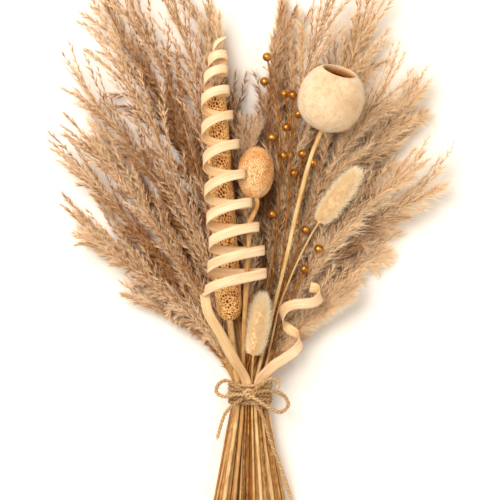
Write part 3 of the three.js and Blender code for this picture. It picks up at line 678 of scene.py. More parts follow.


# The first ramp takes the low tones, where the lower layers' painted shade falls
PLUME_FIBRE = fibre_material(
    "plume_fibre",
    [(58, 22, 0), (146, 80, 12), (214, 140, 54)],
    [(232, 184, 124), (254, 225, 183), (255, 250, 236)])
HARE_FUR = fibre_material(
    "hare_tail_fur",
    [(244, 188, 124), (255, 226, 176), (255, 242, 212)],
    [(254, 220, 168), (255, 241, 208), (255, 250, 234)])
JUTE = fibre_material(
    "jute_fibre",
    [(130, 90, 50), (184, 140, 92), (224, 188, 140)],
    [(200, 156, 104), (234, 198, 150), (252, 230, 194)])
STRAW = straw_material("dry_straw", (184, 120, 42), (253, 225, 164))
SHAVING = shaving_material()
GOLD = gold_material("gold_paint", 0.34, 0.8, (126, 75, 17), (189, 126, 48), (235, 182, 105))
GOLD_TWIG = gold_material("gold_twig", 0.45, 0.3, (108, 62, 12), (160, 102, 32), (214, 154, 72))
# painted shade in the pits: the skin is darker the deeper it lies in a pit
COB_SKIN = skin_material(
    "seed_cob", 0.7,
    [DEPTH, (0, 250, 212, 148), (0.3, 232, 168, 84), (0.62, 164, 94, 26), (1, 84, 40, 6)],
    [[0.55, (70,), (0.35, 214, 172, 110), (0.65, *WHITE)]],
    [(1400,), 0.0005, 0.6])
# painted shade in the pits: the skin is darker the deeper it lies in a pit
BALL_SKIN = skin_material(
    "sponge_ball", 0.75,
    [DEPTH, (0, 244, 212, 164), (0.4, 232, 184, 124), (0.75, 192, 128, 64), (1, 130, 74, 26)],
    [[0.75, (340, 6, 0.85), (0.39, 120, 62, 14), (0.45, *WHITE)],
     [0.7, (60,), (0.38, 236, 186, 118), (0.6, *WHITE)]],
    [(1300,), 0.0005, 0.6])
GOURD_SKIN = skin_material(
    "gourd_skin", 0.55,
    [(24,), (0.3, 230, 192, 146), (0.5, 245, 217, 178), (0.72, 252, 238, 216)],
    [[0.45, (170, 8, 0.8), (0.36, 206, 150, 90), (0.52, *WHITE)],
     [1.0, DEPTH, (0, *WHITE), (0.3, 206, 146, 84), (1, 120, 66, 22)]],
    [(110, 12, 0.78), 0.0034, 0.85])


# Camera

def make_camera():
    data = bpy.data.cameras.new("camera")
    data.lens, data.sensor_width, data.clip_end = LENS, SENSOR, 20
    camera = add_object("camera", data)
    distance = PHOTO_PIXELS * MILLIMETRES_PER_PIXEL * LENS / SENSOR
    camera.location = metres([*VIEW_CENTRE, VIEW_PLANE_HEIGHT + distance])
    bpy.context.scene.camera = camera


# Jute twine

TAILS = {
    "twine_tail_left": [
        [-6.1, -2.9, 33.3], [-14, -8.4, 33.2], [-20, -14, 31], [-23.5, -21, 28],
        [-26, -29, 25.5], [-28.5, -38, 24.5]],
    "twine_tail_right": [
        [3.6, -5.9, 32.6], [9.5, -15, 29.6], [13.6, -27, 29.4], [17.2, -38, 29.4],
        [21.2, -49, 28.2], [25.6, -60, 23.6], [29.6, -71.5, 17.4], [33.2, -83, 11.8],
        [36, -93, 8]],
}
LOOPS = [
    [[0, 1, 33.5], [-10, 6.5, 34], [-20, 12.5, 33], [-27, 9.5, 30], [-29, 3, 29], [-24, -1, 31],
     [-12, 0.5, 34], [0, 1, 34.5]],
    [[0, 1, 34], [10, 3.5, 35], [20, 3.6, 33], [28.5, 0, 31], [33, -8, 29.5], [27, -14.6, 30],
     [17, -11, 32.5], [8, -5, 34.5], [0, 0, 34.5]],
    [[2, 3, 34.5], [10, 10, 36], [18, 14.5, 36.5], [24.5, 12, 35.5], [24, 6.5, 35]],
]


def add_twine(batch, line, rng, fuzz_per_millimetre=7, fuzz_length=3.6):
    """Two twisted strands of fibre along a line, with loose fuzz."""
    lengths = lengths_along(line)
    along, side, lift = travelling_frames(line)
    for start in (0, math.pi):
        turn = lengths * math.tau / STRAND_PITCH + start
        radii = STRAND_RADIUS * mix(*STRAND_SWELL, rng.random(len(line)))
        add_tube(batch, line + STRAND_OFFSET * around(side, lift, turn), radii, 6,
                 tone=0.3 + 0.35 * rng.random(), v_range=(0.1, 0.6))
    count = int(lengths[-1] * fuzz_per_millimetre)
    bare = len(line) // 16
    place = rng.integers(bare, len(line) - bare, count)
    out = around(side[place], lift[place], rng.random(count) * math.tau)
    root = line[place] + out * FUZZ_ROOT
    tip = root + out * mix(0.1, fuzz_length, rng.random((count, 1)) ** 2)
    tip = tip + along[place] * np.clip(rng.normal(0, 1.6, (count, 1)), -2.5, 2.5)
    add_slivers(batch, root, tip, FUZZ_RADIUS, rng.random(count))


def wrap_line():
    """The turns round the stems, each a rounded square."""
    share = np.linspace(0, 1, 560)
    angle = (0.5 + 2 * WRAP_TURNS * share) * math.pi
    x, z = (np.sign(wave) * np.abs(wave) ** (2 / WRAP_SQUARENESS)
            for wave in (np.cos(angle), np.sin(angle)))
    y = mix(-0.5, 0.5, share) * WRAP_TURNS * WRAP_PITCH + WRAP_SHIFT
    return np.stack([WRAP_HALF_WIDTH * x, y, WRAP_MIDDLE_HEIGHT + WRAP_HALF_HEIGHT * z], -1)


def knot_line():
    """One and a half flat turns on top of the wrap."""
    share = np.linspace(0, 1, 60)
    turn = share * 3 * math.pi
    top = WRAP_MIDDLE_HEIGHT + WRAP_HALF_HEIGHT + TWINE_RADIUS
    return np.stack([4.2 * np.cos(turn) - 0.8, 3.4 * np.sin(turn) + 1.2,
                     top + mix(0.6, 3.4, share)], -1)


def make_twine():
    rng = np.random.default_rng(301)
    for name, points in TAILS.items():
        batch = Batch()
        line = route(points)(np.linspace(0, 1, 120))
        add_twine(batch, line, rng, 5, 0.9)
        tail = make_piece(name, "strands", batch, [JUTE])
    batch = Batch()
    loops = (route(points)(np.linspace(0, 1, 14 * len(points))) for points in LOOPS)
    for line in (wrap_line(), knot_line(), *loops):
        add_twine(batch, line, rng)
    make_piece("twine_bow", "strands", batch, [JUTE])


# Plumes

def plume_tone(centre, seed):
    """How pale a plume is: paler to the right, and darker in the middle, where the darkening is
    painted shade.
    """
    turned = math.degrees(centre)
    tone = 0.38 + 0.28 * smoothstep(turned, -2, 28) + 0.14 * (draw(seed, 9) - 0.5)
    # painted shade: the plumes in the middle of the fan are made darker
    return tone - 0.08 * (1 - smoothstep(abs(turned), 14, 26))


def widened(sideways, layer, centre, start, draws):
    """Bushier branches, but held in at the fan's edges and beside the gap in its middle."""
    turned = abs(math.degrees(centre))
    wide = mix(1, CENTRE_BUSHINESS if centre == 0 else layer["bushiness"], draws)
    edge = smoothstep(turned, *EDGE_ANGLES)
    gap = 0 if centre == 0 else 1 - smoothstep(turned, *GAP_ANGLES)
    gap = gap * smoothstep(start, *GAP_STARTS)
    return sideways * np.where(sideways * centre > 0, mix(wide, EDGE_BUSHINESS, edge),
                               mix(wide, GAP_BUSHINESS, gap))


def plume_head(batch, layer, centre, depth, seed, reach, head, rng):
    """Branches from the core to the edge of the plume's own room, with spikelets and hairs."""
    number = np.arange(layer["branches"])
    turn = number * GOLDEN_TURN + seed
    place = (number / number[-1]) ** BRANCH_CROWDING
    start = mix(head * FLUFF_START, LAST_BRANCH_START, place) * reach
    end = np.minimum(start + mix(*BRANCH_LENGTHS, rng.random(len(number))), reach)
    taper = np.sqrt(np.maximum(1 - end / (reach * TIP_CLEARANCE), LEAST_TAPER)) * TIP_TAPER
    room = np.minimum(taper, 1) * mix(*CELL_USE, rng.random(len(number)))
    sideways = widened(cell_angle(layer) * room * np.cos(turn), layer, centre, start / reach,
                       rng.random(len(number)))
    droop = np.where(np.sin(turn) < 0, layer["droop"], 1)
    upward = (0.5 / len(LAYERS)) * room * droop * np.sin(turn)
    bow = mix(*BRANCH_BOWS, rng.random(len(number)))[:, None]

    def places(share):
        along = start[:, None] + (end - start)[:, None] * share
        outward = np.maximum(share, 0) ** bow
        return fan_points(layer, centre + sway(seed, along) + sideways[:, None] * outward,
                          depth + upward[:, None] * share, along)

    steps = np.linspace(0, 1, 7)
    for line in places(np.tile(steps, (len(number), 1))):
        add_tube(batch, line, mix(*BRANCH_RADII, steps), 3, tone=0.2)

    shape = (len(number), SPIKELETS)
    share = mix(FIRST_SPIKELET, 1, (np.arange(SPIKELETS) + rng.random(shape)) / SPIKELETS)
    root = places(share)
    along = unit(places(share + 0.02) - places(share - 0.02))
    side, lift = square_directions(along)
    spin = np.arange(SPIKELETS) * GOLDEN_TURN + rng.random(shape) * 1.2
    slim = 1 - 0.5 * share ** 2
    opening = np.radians(mix(*SPIKELET_OPENINGS, rng.random(shape))) * slim
    length = mix(*SPIKELET_LENGTHS, rng.random(shape))
    towards = around(along, around(side, lift, spin), opening)
    root = root + towards * SPIKELET_STALK
    rim = (start[:, None] + (end - start)[:, None] * share) / reach
    # painted shade: the lower layers' spikelets and hairs are darker away from the rim
    shade = layer["shade"] * (1 - smoothstep(rim, *SHADED_REACH))
    tones = plume_tone(centre, seed) - shade + rng.normal(0, BRANCH_TONE_SPREAD, (len(number), 1))
    tones = np.clip(tones + rng.normal(0, SPIKELET_TONE_SPREAD, shape), *TONE_LIMITS)
    add_slivers(batch, root, root + towards * length[..., None],
                mix(*SPIKELET_RADII, rng.random(length.size)), tones, waist=SPINDLE_WAIST)

    right = smoothstep(math.degrees(centre), *FLUFF_ANGLES)
    fluff = mix(*FLUFF, right)
    for _ in range(HAIRS_PER_SPIKELET):
        wide = opening + np.radians(mix(*HAIR_OPENINGS, rng.random(shape))) * fluff
        swing = spin + rng.normal(0, HAIR_SWING, shape)
        out = around(along, around(side, lift, swing), wide)
        base = root + towards * (length * mix(*HAIR_STARTS, rng.random(shape)))[..., None]
        tip = base + out * (fluff * mix(*HAIR_LENGTHS, rng.random(shape)))[..., None]
        paler = (rng.normal(0.46, 0.2, shape) + 0.14 * right) * (1 - 1.3 * shade)
        add_slivers(batch, base, tip, layer["hair_radius"], np.clip(tones + paler, *TONE_LIMITS))


def add_blades(batch, layer, centre, depth, seed, reach, rng):
    """Thin dry blades along the stem, from the tie into the head."""
    steps = np.linspace(0, 1, 16)
    for _ in range(BLADES):
        share = steps * mix(0.2, 0.5, rng.random()) * reach
        beside = rng.uniform(-0.7, 0.7) + 0.25 * rng.uniform(-1, 1) * steps
        angle = centre + cell_angle(layer) * beside + sway(seed, share)
        line = fan_points(layer, angle, depth + 0.13 * rng.uniform(-1, 1), share)
        radii = mix(0.3, 0.75, rng.random()) * np.sqrt(1.02 - steps)
        add_tube(batch, line, radii, 3, tone=rng.uniform(-0.3, 0.9), kind=1)


def add_loose_straws(batch, foot, tie_height, cut_height, seed, rng):
    """Thinner straws beside the stem, below the tie."""
    for number in range(LOOSE_STRAWS):
        length = cut_length(seed) * mix(0.72, 0.98, rng.random())
        y = np.linspace(-length, TIE_HALF_LENGTH, 14)
        beside = foot + (number - 0.5) * STEM_PITCH * rng.uniform(0.7, 1)
        line = stem_points(beside, tie_height, cut_height + rng.uniform(-1, 2.6), y)
        line[:, 0] += 0.8 * np.sin(y * 0.03 + seed)
        radii = mix(0.5, 1.2, rng.random()) * np.linspace(1, 0.7, 14)
        line[:, 2] = np.maximum(line[:, 2], radii + 0.1)
        add_tube(batch, line, radii, 5, tone=rng.random(), kind=1)


def clear_of_floor(points):
    """Points that would reach the floor bend along it, within the lowest clearance."""
    low = points[:, 2] < FLOOR_CLEARANCE
    points[low, 2] = FLOOR_CLEARANCE * np.exp(
        (points[low, 2] - FLOOR_CLEARANCE) / FLOOR_CLEARANCE)


def within_reach(points):
    """Hair tips that would pass the part's own box by more than a little are held back."""
    low, high = (np.asarray(corner) * 1000 - TIE_MIDDLE for corner in cad_box)
    for axis in (0, 1):
        place = points[:, axis]
        over = np.maximum(place - high[axis], 0)
        under = np.maximum(low[axis] - place, 0)
        points[:, axis] = np.clip(place, low[axis], high[axis]) \
            + SOFT_EDGE * (np.tanh(over / SOFT_EDGE) - np.tanh(under / SOFT_EDGE))


def make_plume(layer, number, index):
    seed = plume_seed(number, index)
    rng = np.random.default_rng(seed)
    centre = math.radians(layer["spread"] * ((2 * index + 1) / layer["count"] - 1))
    depth = (number + 0.5) / len(LAYERS)
    reach = layer["reaches"][index]
    head = head_start(number, centre)
    batch = Batch()

    def core(share):
        return fan_points(layer, centre + sway(seed, share), depth, share)

    foot = slot_x(layer, centre)
    heights = mix(FAN_LOW_START, FAN_TOP_START, depth), layer["cut_end_height"]
    below = stem_points(foot, *heights, np.linspace(-cut_length(seed), TIE_HALF_LENGTH, 24))
    above = core(np.linspace(0, head, 9)[1:] * reach)
    radii = np.concatenate([np.linspace(CUT_END_RADIUS, STEM_RADIUS, 21), np.full(11, STEM_RADIUS)])
    add_tube(batch, np.vstack([below, above]), radii, 8, tone=draw(seed, 11), kind=1)
    line = core(np.linspace(head * 0.98, 0.99, 24) * reach)
    add_tube(batch, line, np.linspace(STEM_RADIUS, 0.4, 24), 5, tone=0.35)
    plume_head(batch, layer, centre, depth, seed, reach, head, rng)
    add_blades(batch, layer, centre, depth, seed, reach, rng)
    add_loose_straws(batch, foot, *heights, seed, rng)
    for points in batch.points:
        clear_of_floor(points)
        within_reach(points)
    make_piece(f"plume_{layer['name']}_{index + 1}", "fibres", batch, [PLUME_FIBRE, STRAW],
               smooth=False)


# Seed cob and sponge ball

def cob_axis(share):
    foot, head = (lying_at(*end) for end in zip(COB_ENDS, COB_RADII))
    return mix(foot, head, np.asarray(share)[..., None])


def pit_depths(points, spacing, rng):
    """How deep each point lies in a pit, 0 on the walls between pits to 1 in the middle."""
    centres = {}
    for index in rng.permutation(len(points)):
        cell = tuple((points[index] / (spacing * 0.8)).astype(int))
        centres.setdefault(cell, points[index])
    tree = KDTree(len(centres))
    for index, centre in enumerate(centres.values()):
        tree.insert(centre, index)
    tree.balance()
    depths = np.empty(len(points))
    for index, point in enumerate(points):
        near = tree.find_n(point, 2)
        depths[index] = (near[1][2] - near[0][2]) / spacing
    return smoothstep(depths, *PIT_WALL)


def make_pitted_body(node_name, slot, material, seed, axis, radius_at, rows, columns, spacing, pit):
    """A round body along an axis whose skin is full of pits."""
    rounded = (1 - np.cos(np.linspace(0, math.pi, rows) * 0.999 + 0.0005)) / 2
    share = 0.35 * rounded + 0.65 * np.linspace(0.0004, 0.9996, rows)
    line = axis(share)
    _, side, lift = travelling_frames(line)
    out = around(side[:, None], lift[:, None], turns(columns))
    radii = radius_at(share)
    skin = rings(line, out, radii)
    depths = pit_depths(skin, spacing, np.random.default_rng(seed))
    ends = np.minimum(radii / radii.max() * 1.6, 1).repeat(columns)
    shift = -pit * depths * ends + 0.5 * uneven(skin, 0.09) * ends
    batch = Batch()
    add_body(batch, skin + out.reshape(-1, 3) * shift[:, None], line[[0, -1]], rows)
    # the depths also go to the skin material, which paints shade in the pits
    make_piece(node_name, "skin", batch, [material],
               depth=np.concatenate([depths, [0.5, 0.5]]))


def make_cob():
    def radius_at(share):
        blunt_end = np.maximum(1 - np.abs(2 * share - 1) ** COB_BLUNTNESS, 0)
        return mix(*COB_RADII, share) * np.sqrt(blunt_end)

    make_pitted_body("cob", "cob", COB_SKIN, 401, cob_axis, radius_at, **COB_PITS)


def make_ball():
    half = np.array([BALL_LEAN, BALL_HALF_LENGTH, 0])
    centre = lying_at(BALL_CENTRE, BALL_RADIUS)
    make_pitted_body(
        "sponge_ball", "sponge", BALL_SKIN, 402,
        lambda share: mix(centre - half, centre + half, share[..., None]),
        lambda share: BALL_RADIUS * 2 * np.sqrt(np.maximum(share * (1 - share), 0)), **BALL_PITS)


# Gourd cup

def cup_axis():
    lean, tilt = math.radians(CUP_LEAN), math.radians(CUP_TILT)
    return np.array([math.sin(lean) * math.cos(tilt), math.cos(lean) * math.cos(tilt),
                     math.sin(tilt)])


def on_cup_axis(height):
    return (lying_at(CUP_CENTRE, CUP_RADIUS) + cup_axis() * height).tolist()


def cup_outline():
    """Heights, radii and how far inside: up the outer wall, over the lip and down inside."""
    def wall(share, radius):
        return radius * np.maximum(1 - np.abs(share) ** CUP_SWELL, 0) ** (1 / CUP_SWELL)

    share = -np.cos(np.linspace(0.01, math.acos(-CUP_MOUTH_HEIGHT / CUP_HALF_LENGTH), 64))
    outer = np.stack([share * CUP_HALF_LENGTH, wall(share, CUP_RADIUS), share * 0], 1)
    turn = np.linspace(0.25, math.pi, 9)
    lip = np.stack([CUP_MOUTH_HEIGHT + CUP_LIP * np.sin(turn),
                    CUP_MOUTH_RADIUS + CUP_LIP + CUP_LIP * np.cos(turn), turn * 0 + 0.03], 1)
    share = np.linspace(0.74, -0.998, 44)
    radii = mix(wall(share, CUP_RADIUS - CUP_WALL), CUP_MOUTH_RADIUS + 0.8,
                smoothstep(share, 0.55, 0.76))
    inner = np.stack([share * (CUP_HALF_LENGTH - CUP_WALL), radii,
                      smoothstep(-share, -0.92, -0.55)], 1)
    return np.vstack([outer, lip, inner])


def make_cup():
    height, radius, inside = cup_outline().T
    axis = cup_axis()
    out = around(*square_directions(axis), turns(CUP_COLUMNS))
    skin = rings(np.array(on_cup_axis(0)) + axis * height[:, None], out, radius)
    waves = uneven(skin, 0.06) + 0.3 * uneven(skin, 0.25)
    fade = (1 - smoothstep(inside, 0, 0.1)).repeat(CUP_COLUMNS)
    skin = skin + np.tile(out, (len(height), 1)) * (0.5 * waves * fade)[:, None]
    batch = Batch()
    add_body(batch, skin, [on_cup_axis(-CUP_HALF_LENGTH), on_cup_axis(CUP_WALL - CUP_HALF_LENGTH)],
             len(height))
    make_piece("gourd_cup", "skin", batch, [GOURD_SKIN],
               depth=np.concatenate([inside.repeat(CUP_COLUMNS), [0, 1]]))


# Round filler stems

def make_round_stem(node_name, points, radii, seed, tone):
    batch = Batch()
    share = np.linspace(0, STEM_END, 90)
    swell = mix(*radii, np.clip((share - 0.5) * 4, 0, 1))
    knots = 1 + 0.04 * np.sin(share * 70 + seed)
    add_tube(batch, route(points)(share), swell * knots, 12, tone=tone)
    make_piece(node_name, "straw", batch, [STRAW])


def make_round_stems():
    make_round_stem("cob_stem", [
        *decor_foot(-10.6, 101), [-11, 14.5, 24.4], [-14.5, 42, 34.5],
        cob_axis(0).tolist(), cob_axis(0.05).tolist()], (1.7, 2.7), 101, 0.6)
    ball_height = lying_on(*BALL_CENTRE, BALL_RADIUS)
    make_round_stem("ball_stem", [
        *decor_foot(-6.4, 102), [-6.2, 14, 24.3], [-5.6, 35, 36], [-5.2, 57, 50],
        [-3.4, 91, 66], [-2.2, 115, 71.5], [-1, 132, 72.3], [-0.5, 147, 72], [3.8, 157, 69],
        [6.2, 164, 65.5], [4.6, 172, ball_height + 0.5], [4.2, 177, ball_height]],
        (1.6, 2.1), 102, 0.3)
    make_round_stem("cup_stem", [
        *decor_foot(4.6, 103), [6, 15, 24.2], [20, 73, 36], [31.5, 120, 47],
        [39.1, 155.6, 57.5], [51.9, 204.9, 73], on_cup_axis(-CUP_HALF_LENGTH - 3),
        on_cup_axis(-CUP_HALF_LENGTH + 2)], (1.5, 1.8), 103, 0.7)


# Wood shaving ribbons

SPIRAL_SPINE = np.array([
    (-12, 92.5), (-11.5, 127), (-18, 162.5), (-23.8, 206.6), (-28.5, 249.2), (-27.3, 279.5),
    (-23.5, 297)])
SPIRAL_TAIL = [[-1.6, -9, 26.3], [-2.2, 0, 26.3], [-3.6, 12, 26.7], [-12.6, 29, 41],
               [-25, 53, 56], [-35.4, 72, 67.5]]
CURL = [
    [7.2, -9, 25.9], [7.2, 2, 25.9], [8, 11, 26.2], [13, 18.2, 30.5], [20.8, 26, 37],
    [30.5, 32.6, 43], [38.6, 38.4, 45.5], [43.4, 45.4, 40.5], [40.6, 52, 34.2],
    [34.5, 56.4, 32.4], [29.5, 61.6, 34], [27, 69, 40], [30.5, 75.4, 46.8],
    [37.6, 78.4, 50.6], [46.8, 79, 51.8], [55.4, 80.6, 49.4], [60.6, 86, 43.4],
    [57.4, 91.4, 38.6], [51.4, 93, 37.6]]


def spiral_spine():
    """The middle of the coil, in front of the cob."""
    x, y = SPIRAL_SPINE.T
    (_, foot), (_, head) = COB_ENDS
    share = np.clip((y - foot) / (head - foot), 0, 1)
    front = cob_axis(share)[:, 2] + mix(*COB_RADII, share) * SPIRAL_COB_ROOM
    depth = mix(*SPIRAL_DEPTHS, np.arange(len(x)) / (len(x) - 1))
    return np.stack([x, y, front + depth + RIBBON_THICKNESS + GAP], 1)


def spiral_points(share):
    """The coiled part of the spiral ribbon, from its widest turn up to its narrow end."""
    points = catmull_rom(spiral_spine(), share)
    turn = (2 * SPIRAL_TURNS * share - 0.5) * math.pi
    ending = smoothstep(share, SPIRAL_RISE_FROM, 1)
    tilt = mix(*SPIRAL_TILTS, smoothstep(share, 0, SPIRAL_TILT_END)) * (1 - ending)
    points[:, 0] += mix(*SPIRAL_HALF_WIDTHS, share) * np.sin(turn)
    points[:, 1] += mix(*SPIRAL_SLANTS, share) * np.sin(turn) + tilt * np.cos(turn)
    points[:, 1] += SPIRAL_LAST_RISE * ending
    points[:, 2] += mix(*SPIRAL_DEPTHS, share) * np.cos(turn)
    return points


def make_ribbon(node_name, line, directions, turned, width):
    """A thin strip along a line, its width near two directions in turn, with worn edges."""
    along = unit(np.gradient(line, axis=0))
    direction = mix(*np.array(directions), turned[:, None])
    across = unit(direction - along * np.sum(direction * along, 1)[:, None])
    face = np.cross(along, across)
    edge = np.array([[noise.noise(Vector((i * 0.06, 3.7 * k, 0))) for k in (1, 2)]
                     for i in range(len(line))]) * 0.05
    strips = []
    for top in (1, -1):
        for place in np.linspace(-0.5, 0.5, 7)[::top]:
            wide = place * width * (1 + edge[:, 0 if place < 0 else 1])
            thick = RIBBON_THICKNESS / 2 * (1 - 0.5 * abs(2 * place) ** 4)
            strips.append(line + across * wide[:, None] + face * (top * thick))
    points = np.stack(strips, 1)
    columns = len(strips)
    ends = np.arange(1, columns - 1)
    base = (len(line) - 1) * columns
    first = np.stack([np.zeros_like(ends), ends, ends + 1], 1)
    last = np.stack([np.full_like(ends, base), base + ends + 1, base + ends], 1)
    triangles = np.vstack([grid_triangles(len(line), columns), last, first])[:, ::-1]
    u, v = np.meshgrid(np.linspace(0, 1, columns), lengths_along(line) / RIBBON_GRAIN_LENGTH)
    batch = Batch()
    batch.add(points.reshape(-1, 3), triangles, np.stack([u.ravel(), v.ravel()], 1))
    make_piece(node_name, "shaving", batch, [SHAVING])


def make_ribbons():
    share = np.linspace(0, 1, 900)
    tail = [*SPIRAL_TAIL, spiral_points(np.array([0.0]))[0]]
    coiled = np.clip((share - SPIRAL_TAIL_SHARE) / (1 - SPIRAL_TAIL_SHARE), 0, 1)
    line = np.where((share < SPIRAL_TAIL_SHARE)[:, None],
                    catmull_rom(tail, share / SPIRAL_TAIL_SHARE), spiral_points(coiled))
    width = RIBBON_WIDTH * mix(1, SPIRAL_HEAD_WIDTH, share) * np.minimum(
        1, (1.01 - share) / SPIRAL_POINT)
    make_ribbon("spiral_ribbon", line, [(0.88, 0.47, 0), (0, 1.0, 0)],
                smoothstep(share, 0.06, 0.115), width)
    share = np.linspace(0, 1, 300)
    make_ribbon("curl_ribbon", route(CURL)(share), [(-1, 0.1, 0), (-0.3, 0.95, 0)],
                smoothstep(share, 0.1, 0.22), np.full(300, RIBBON_WIDTH))


# Hare's tail grass

HARE_TAILS = [
    {"name": "hare_tail_right", "radius": 9.6, "slot": 9.6, "seed": 104,
     "foot": (58.3, 147.9), "tip": (94.9, 196.4), "lift": 0,
     "stem": [[15, 30, 27.5], [24.5, 73, 36], [31, 92, 39.5], [45, 124, 45]]},
    {"name": "hare_tail_centre", "radius": 9.4, "slot": 1.7, "seed": 105,
     "foot": (2.7, 34), "tip": (11.5, 91), "lift": 9,
     "stem": [[1.6, 14, 24.6], [2, 22, 31]]},
]


def hare_belly(share):
    return np.sqrt(np.maximum(1 - np.abs(2 * share - 1) ** HARE_ROUNDNESS, 0))


def make_hare_tail(name, radius, slot, seed, foot, tip, lift, stem):
    rng = np.random.default_rng(seed)
    start, end = (lying_at(place, radius) + lift * UP for place in (foot, tip))
    batch = Batch()

    def axis(share):
        return start + (end - start) * (share * HARE_HEAD_END)[:, None]

    share = np.linspace(0.001, 0.999, 40)
    core_radii = np.maximum(radius * HARE_CORE * hare_belly(share), 0.05)
    add_tube(batch, axis(share), core_radii, 24, tone=0.6, v_range=(0.3, 0.7))
    points = [*decor_foot(slot, seed), *stem, start.tolist(), mix(start, end, 0.2).tolist()]
    line = route(points)(np.linspace(0, STEM_END, 80))
    add_tube(batch, line, HARE_STEM_RADIUS, 8, tone=0.5, kind=1)
    along = unit(end - start)
    share = rng.random(HARE_HAIRS) * 0.92 + 0.02
    out = around(*square_directions(along), rng.random(HARE_HAIRS) * math.tau)
    root = axis(share) + out * (radius * HARE_CORE * 0.92 * hare_belly(share))[:, None]
    spread = rng.random(HARE_HAIRS)
    belly = hare_belly(np.minimum(share + 0.05, 0.985))
    rim = (radius * mix(0.72, 1.42, spread ** 1.3) * belly)[:, None]
    forward = (mix(1, 5, rng.random(HARE_HAIRS)) * (1.2 - 0.7 * spread)
               * np.minimum(1, (1.15 - share) * 4))[:, None]
    hair_tip = start + (end - start) * share[:, None] + out * rim + along * forward
    hair_tip = hair_tip + rng.normal(0, 0.6, hair_tip.shape)
    tones = np.clip(rng.normal(0.5, 0.2, HARE_HAIRS), 0, 1)
    add_slivers(batch, root, hair_tip, HARE_HAIR_RADIUS, tones)
    make_piece(name, "fur", batch, [HARE_FUR, STRAW], smooth=False)


# Gold berries

SPRAYS = [
    {"name": "berry_spray_left", "slot": -3.2, "seed": 106,
     "twig": [[-2.4, 24], [9.5, 60], [19, 100], [24, 160], [25.5, 205], [24, 240], [20, 264],
              [14.5, 288]],
     "berries": [[14.5, 289, 1], [12.3, 268.2, 0.93], [18.7, 221, 0.82], [28.6, 205.7, 0.78],
                 [19.1, 155.6, 0.66]]},
    {"name": "berry_spray_middle", "slot": -1.1, "seed": 107,
     "twig": [[2.2, 24], [16, 60], [27, 110], [31, 150], [33.5, 184], [34.5, 225], [35.4, 254]],
     "berries": [[36.4, 257, 1], [29.5, 257.6, 0.95], [41.5, 240.6, 0.9], [31, 229.5, 0.88],
                 [37.5, 190.4, 0.76]]},
    {"name": "berry_spray_right", "slot": 7.3, "seed": 108,
     "twig": [[21.5, 66], [33, 105], [41.5, 130], [42, 155], [40.6, 180], [44.4, 204]],
     "berries": [[44.7, 207, 1], [54, 199.2, 0.9], [47.6, 142, 0.76]]},
    {"name": "berry_spray_low", "slot": 11.8, "seed": 109,
     "twig": [[19, 34], [27.5, 66], [38, 90], [50, 108]],
     "berries": [[58.7, 125.8, 1], [46.8, 108.8, 0.93]]},
]


def add_berry(batch, centre, pole):
    """A round berry with a blunt tip on the side away from its twig."""
    turn = np.linspace(0.02, math.pi - 0.02, BERRY_ROWS)
    pole = unit(pole)
    line = centre - pole * (BERRY_RADIUS * np.cos(turn))[:, None]
    out = around(*square_directions(pole), turns(BERRY_COLUMNS))
    skin = rings(line, out, BERRY_RADIUS * np.sin(turn))
    add_body(batch, skin, [line[0], line[-1] + pole * 0.25], BERRY_ROWS)


def add_twiglets(batch, path, rng):
    """Short side twigs with a small bud at the end."""
    for share in np.linspace(0.5, 0.97, TWIGLETS):
        fork, ahead = path(np.array([share, share + 0.01]))
        along = unit(ahead - fork)
        turn = math.radians(rng.uniform(20, 50)) * rng.choice([-1, 1])
        way = np.array([along[0] * math.cos(turn) - along[1] * math.sin(turn),
                        along[0] * math.sin(turn) + along[1] * math.cos(turn), 0.05])
        tip = fork + way * rng.uniform(4, 10)
        middle = mix(fork, tip, 0.5) + along * 0.8
        line = route([fork, middle, tip])(np.linspace(0, 1, 6))
        add_tube(batch, line, np.linspace(0.45, 0.28, 6), 4, kind=1)
        add_slivers(batch, tip - way * 0.4, tip + way * 3, 0.85, np.array(0.5), 1, SPINDLE_WAIST)


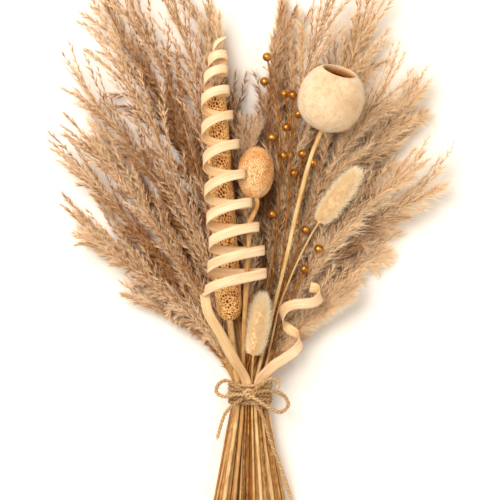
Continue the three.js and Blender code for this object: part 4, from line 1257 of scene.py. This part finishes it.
def make_spray(name, slot, seed, twig, berries):
    batch = Batch()
    path = route([*decor_foot(slot, seed), [slot, 14, DECOR_ROW_HEIGHT + 0.3],
                  *(lying_at(place, TWIG_CLEARANCE) for place in twig)])
    share = np.linspace(0, 1, 90)
    knots = 1.1 + 0.5 * np.sin(share * 70 + seed) ** 8
    add_tube(batch, path(share), mix(*TWIG_RADII, share) * knots, 6, kind=1)
    add_twiglets(batch, path, np.random.default_rng(seed))
    for *place, fork_share in berries:
        berry = lying_at(place, BERRY_RADIUS)
        fork = path(min(fork_share, 0.985) - 0.03)
        bow = mix(fork, berry, 0.5) + np.array([0, 1.5, 0.6])
        branch = route([fork, bow, berry])(np.linspace(0, 1, 14))
        add_tube(batch, branch, TWIG_RADII[1] * 0.85, 6, kind=1)
        add_berry(batch, berry, berry - branch[-3])
    make_piece(name, "gold", batch, [GOLD, GOLD_TWIG])


# Stage

def make_stage():
    material, _, shader = new_material("floor_paint", 0.9)
    shader.inputs["Base Color"].default_value = (0.98, 0.93, 0.87, 1)
    mesh = bpy.data.meshes.new("floor")
    mesh.from_pydata([(-3, -3, 0), (3, -3, 0), (3, 3, 0), (-3, 3, 0)], [], [(0, 1, 2, 3)])
    mesh.materials.append(material)
    add_object("floor", mesh)


def make_light(name, place, size, power):
    data = bpy.data.lights.new(name, "AREA")
    data.shape, data.size, data.energy = "DISK", size, power
    data.color = (1, 0.97, 0.92)
    light = add_object(name, data)
    light.location = place
    light.rotation_mode = "QUATERNION"
    light.rotation_quaternion = (Vector((0, 0.05, 0)) - Vector(place)).to_track_quat("-Z", "Y")


def light_stage():
    make_light("key_light", (-0.55, 0.5, 1.6), size=1.1, power=32)
    make_light("fill_light", (1.2, -0.2, 1.2), size=1.2, power=5)
    world = bpy.data.worlds.new("studio")
    world.use_nodes = True
    background = world.node_tree.nodes["Background"]
    background.inputs["Color"].default_value = (1, 0.94, 0.83, 1)
    background.inputs["Strength"].default_value = 0.56
    bpy.context.scene.world = world
    bpy.context.scene.view_settings.view_transform = "Standard"


# Assembly

make_camera()
make_twine()
for layer_number, fan_layer in enumerate(LAYERS):
    for plume_index in range(fan_layer["count"]):
        make_plume(fan_layer, layer_number, plume_index)
make_cob()
make_ball()
make_cup()
make_round_stems()
make_ribbons()
for hare_tail in HARE_TAILS:
    make_hare_tail(**hare_tail)
for spray in SPRAYS:
    make_spray(**spray)
make_stage()
light_stage()
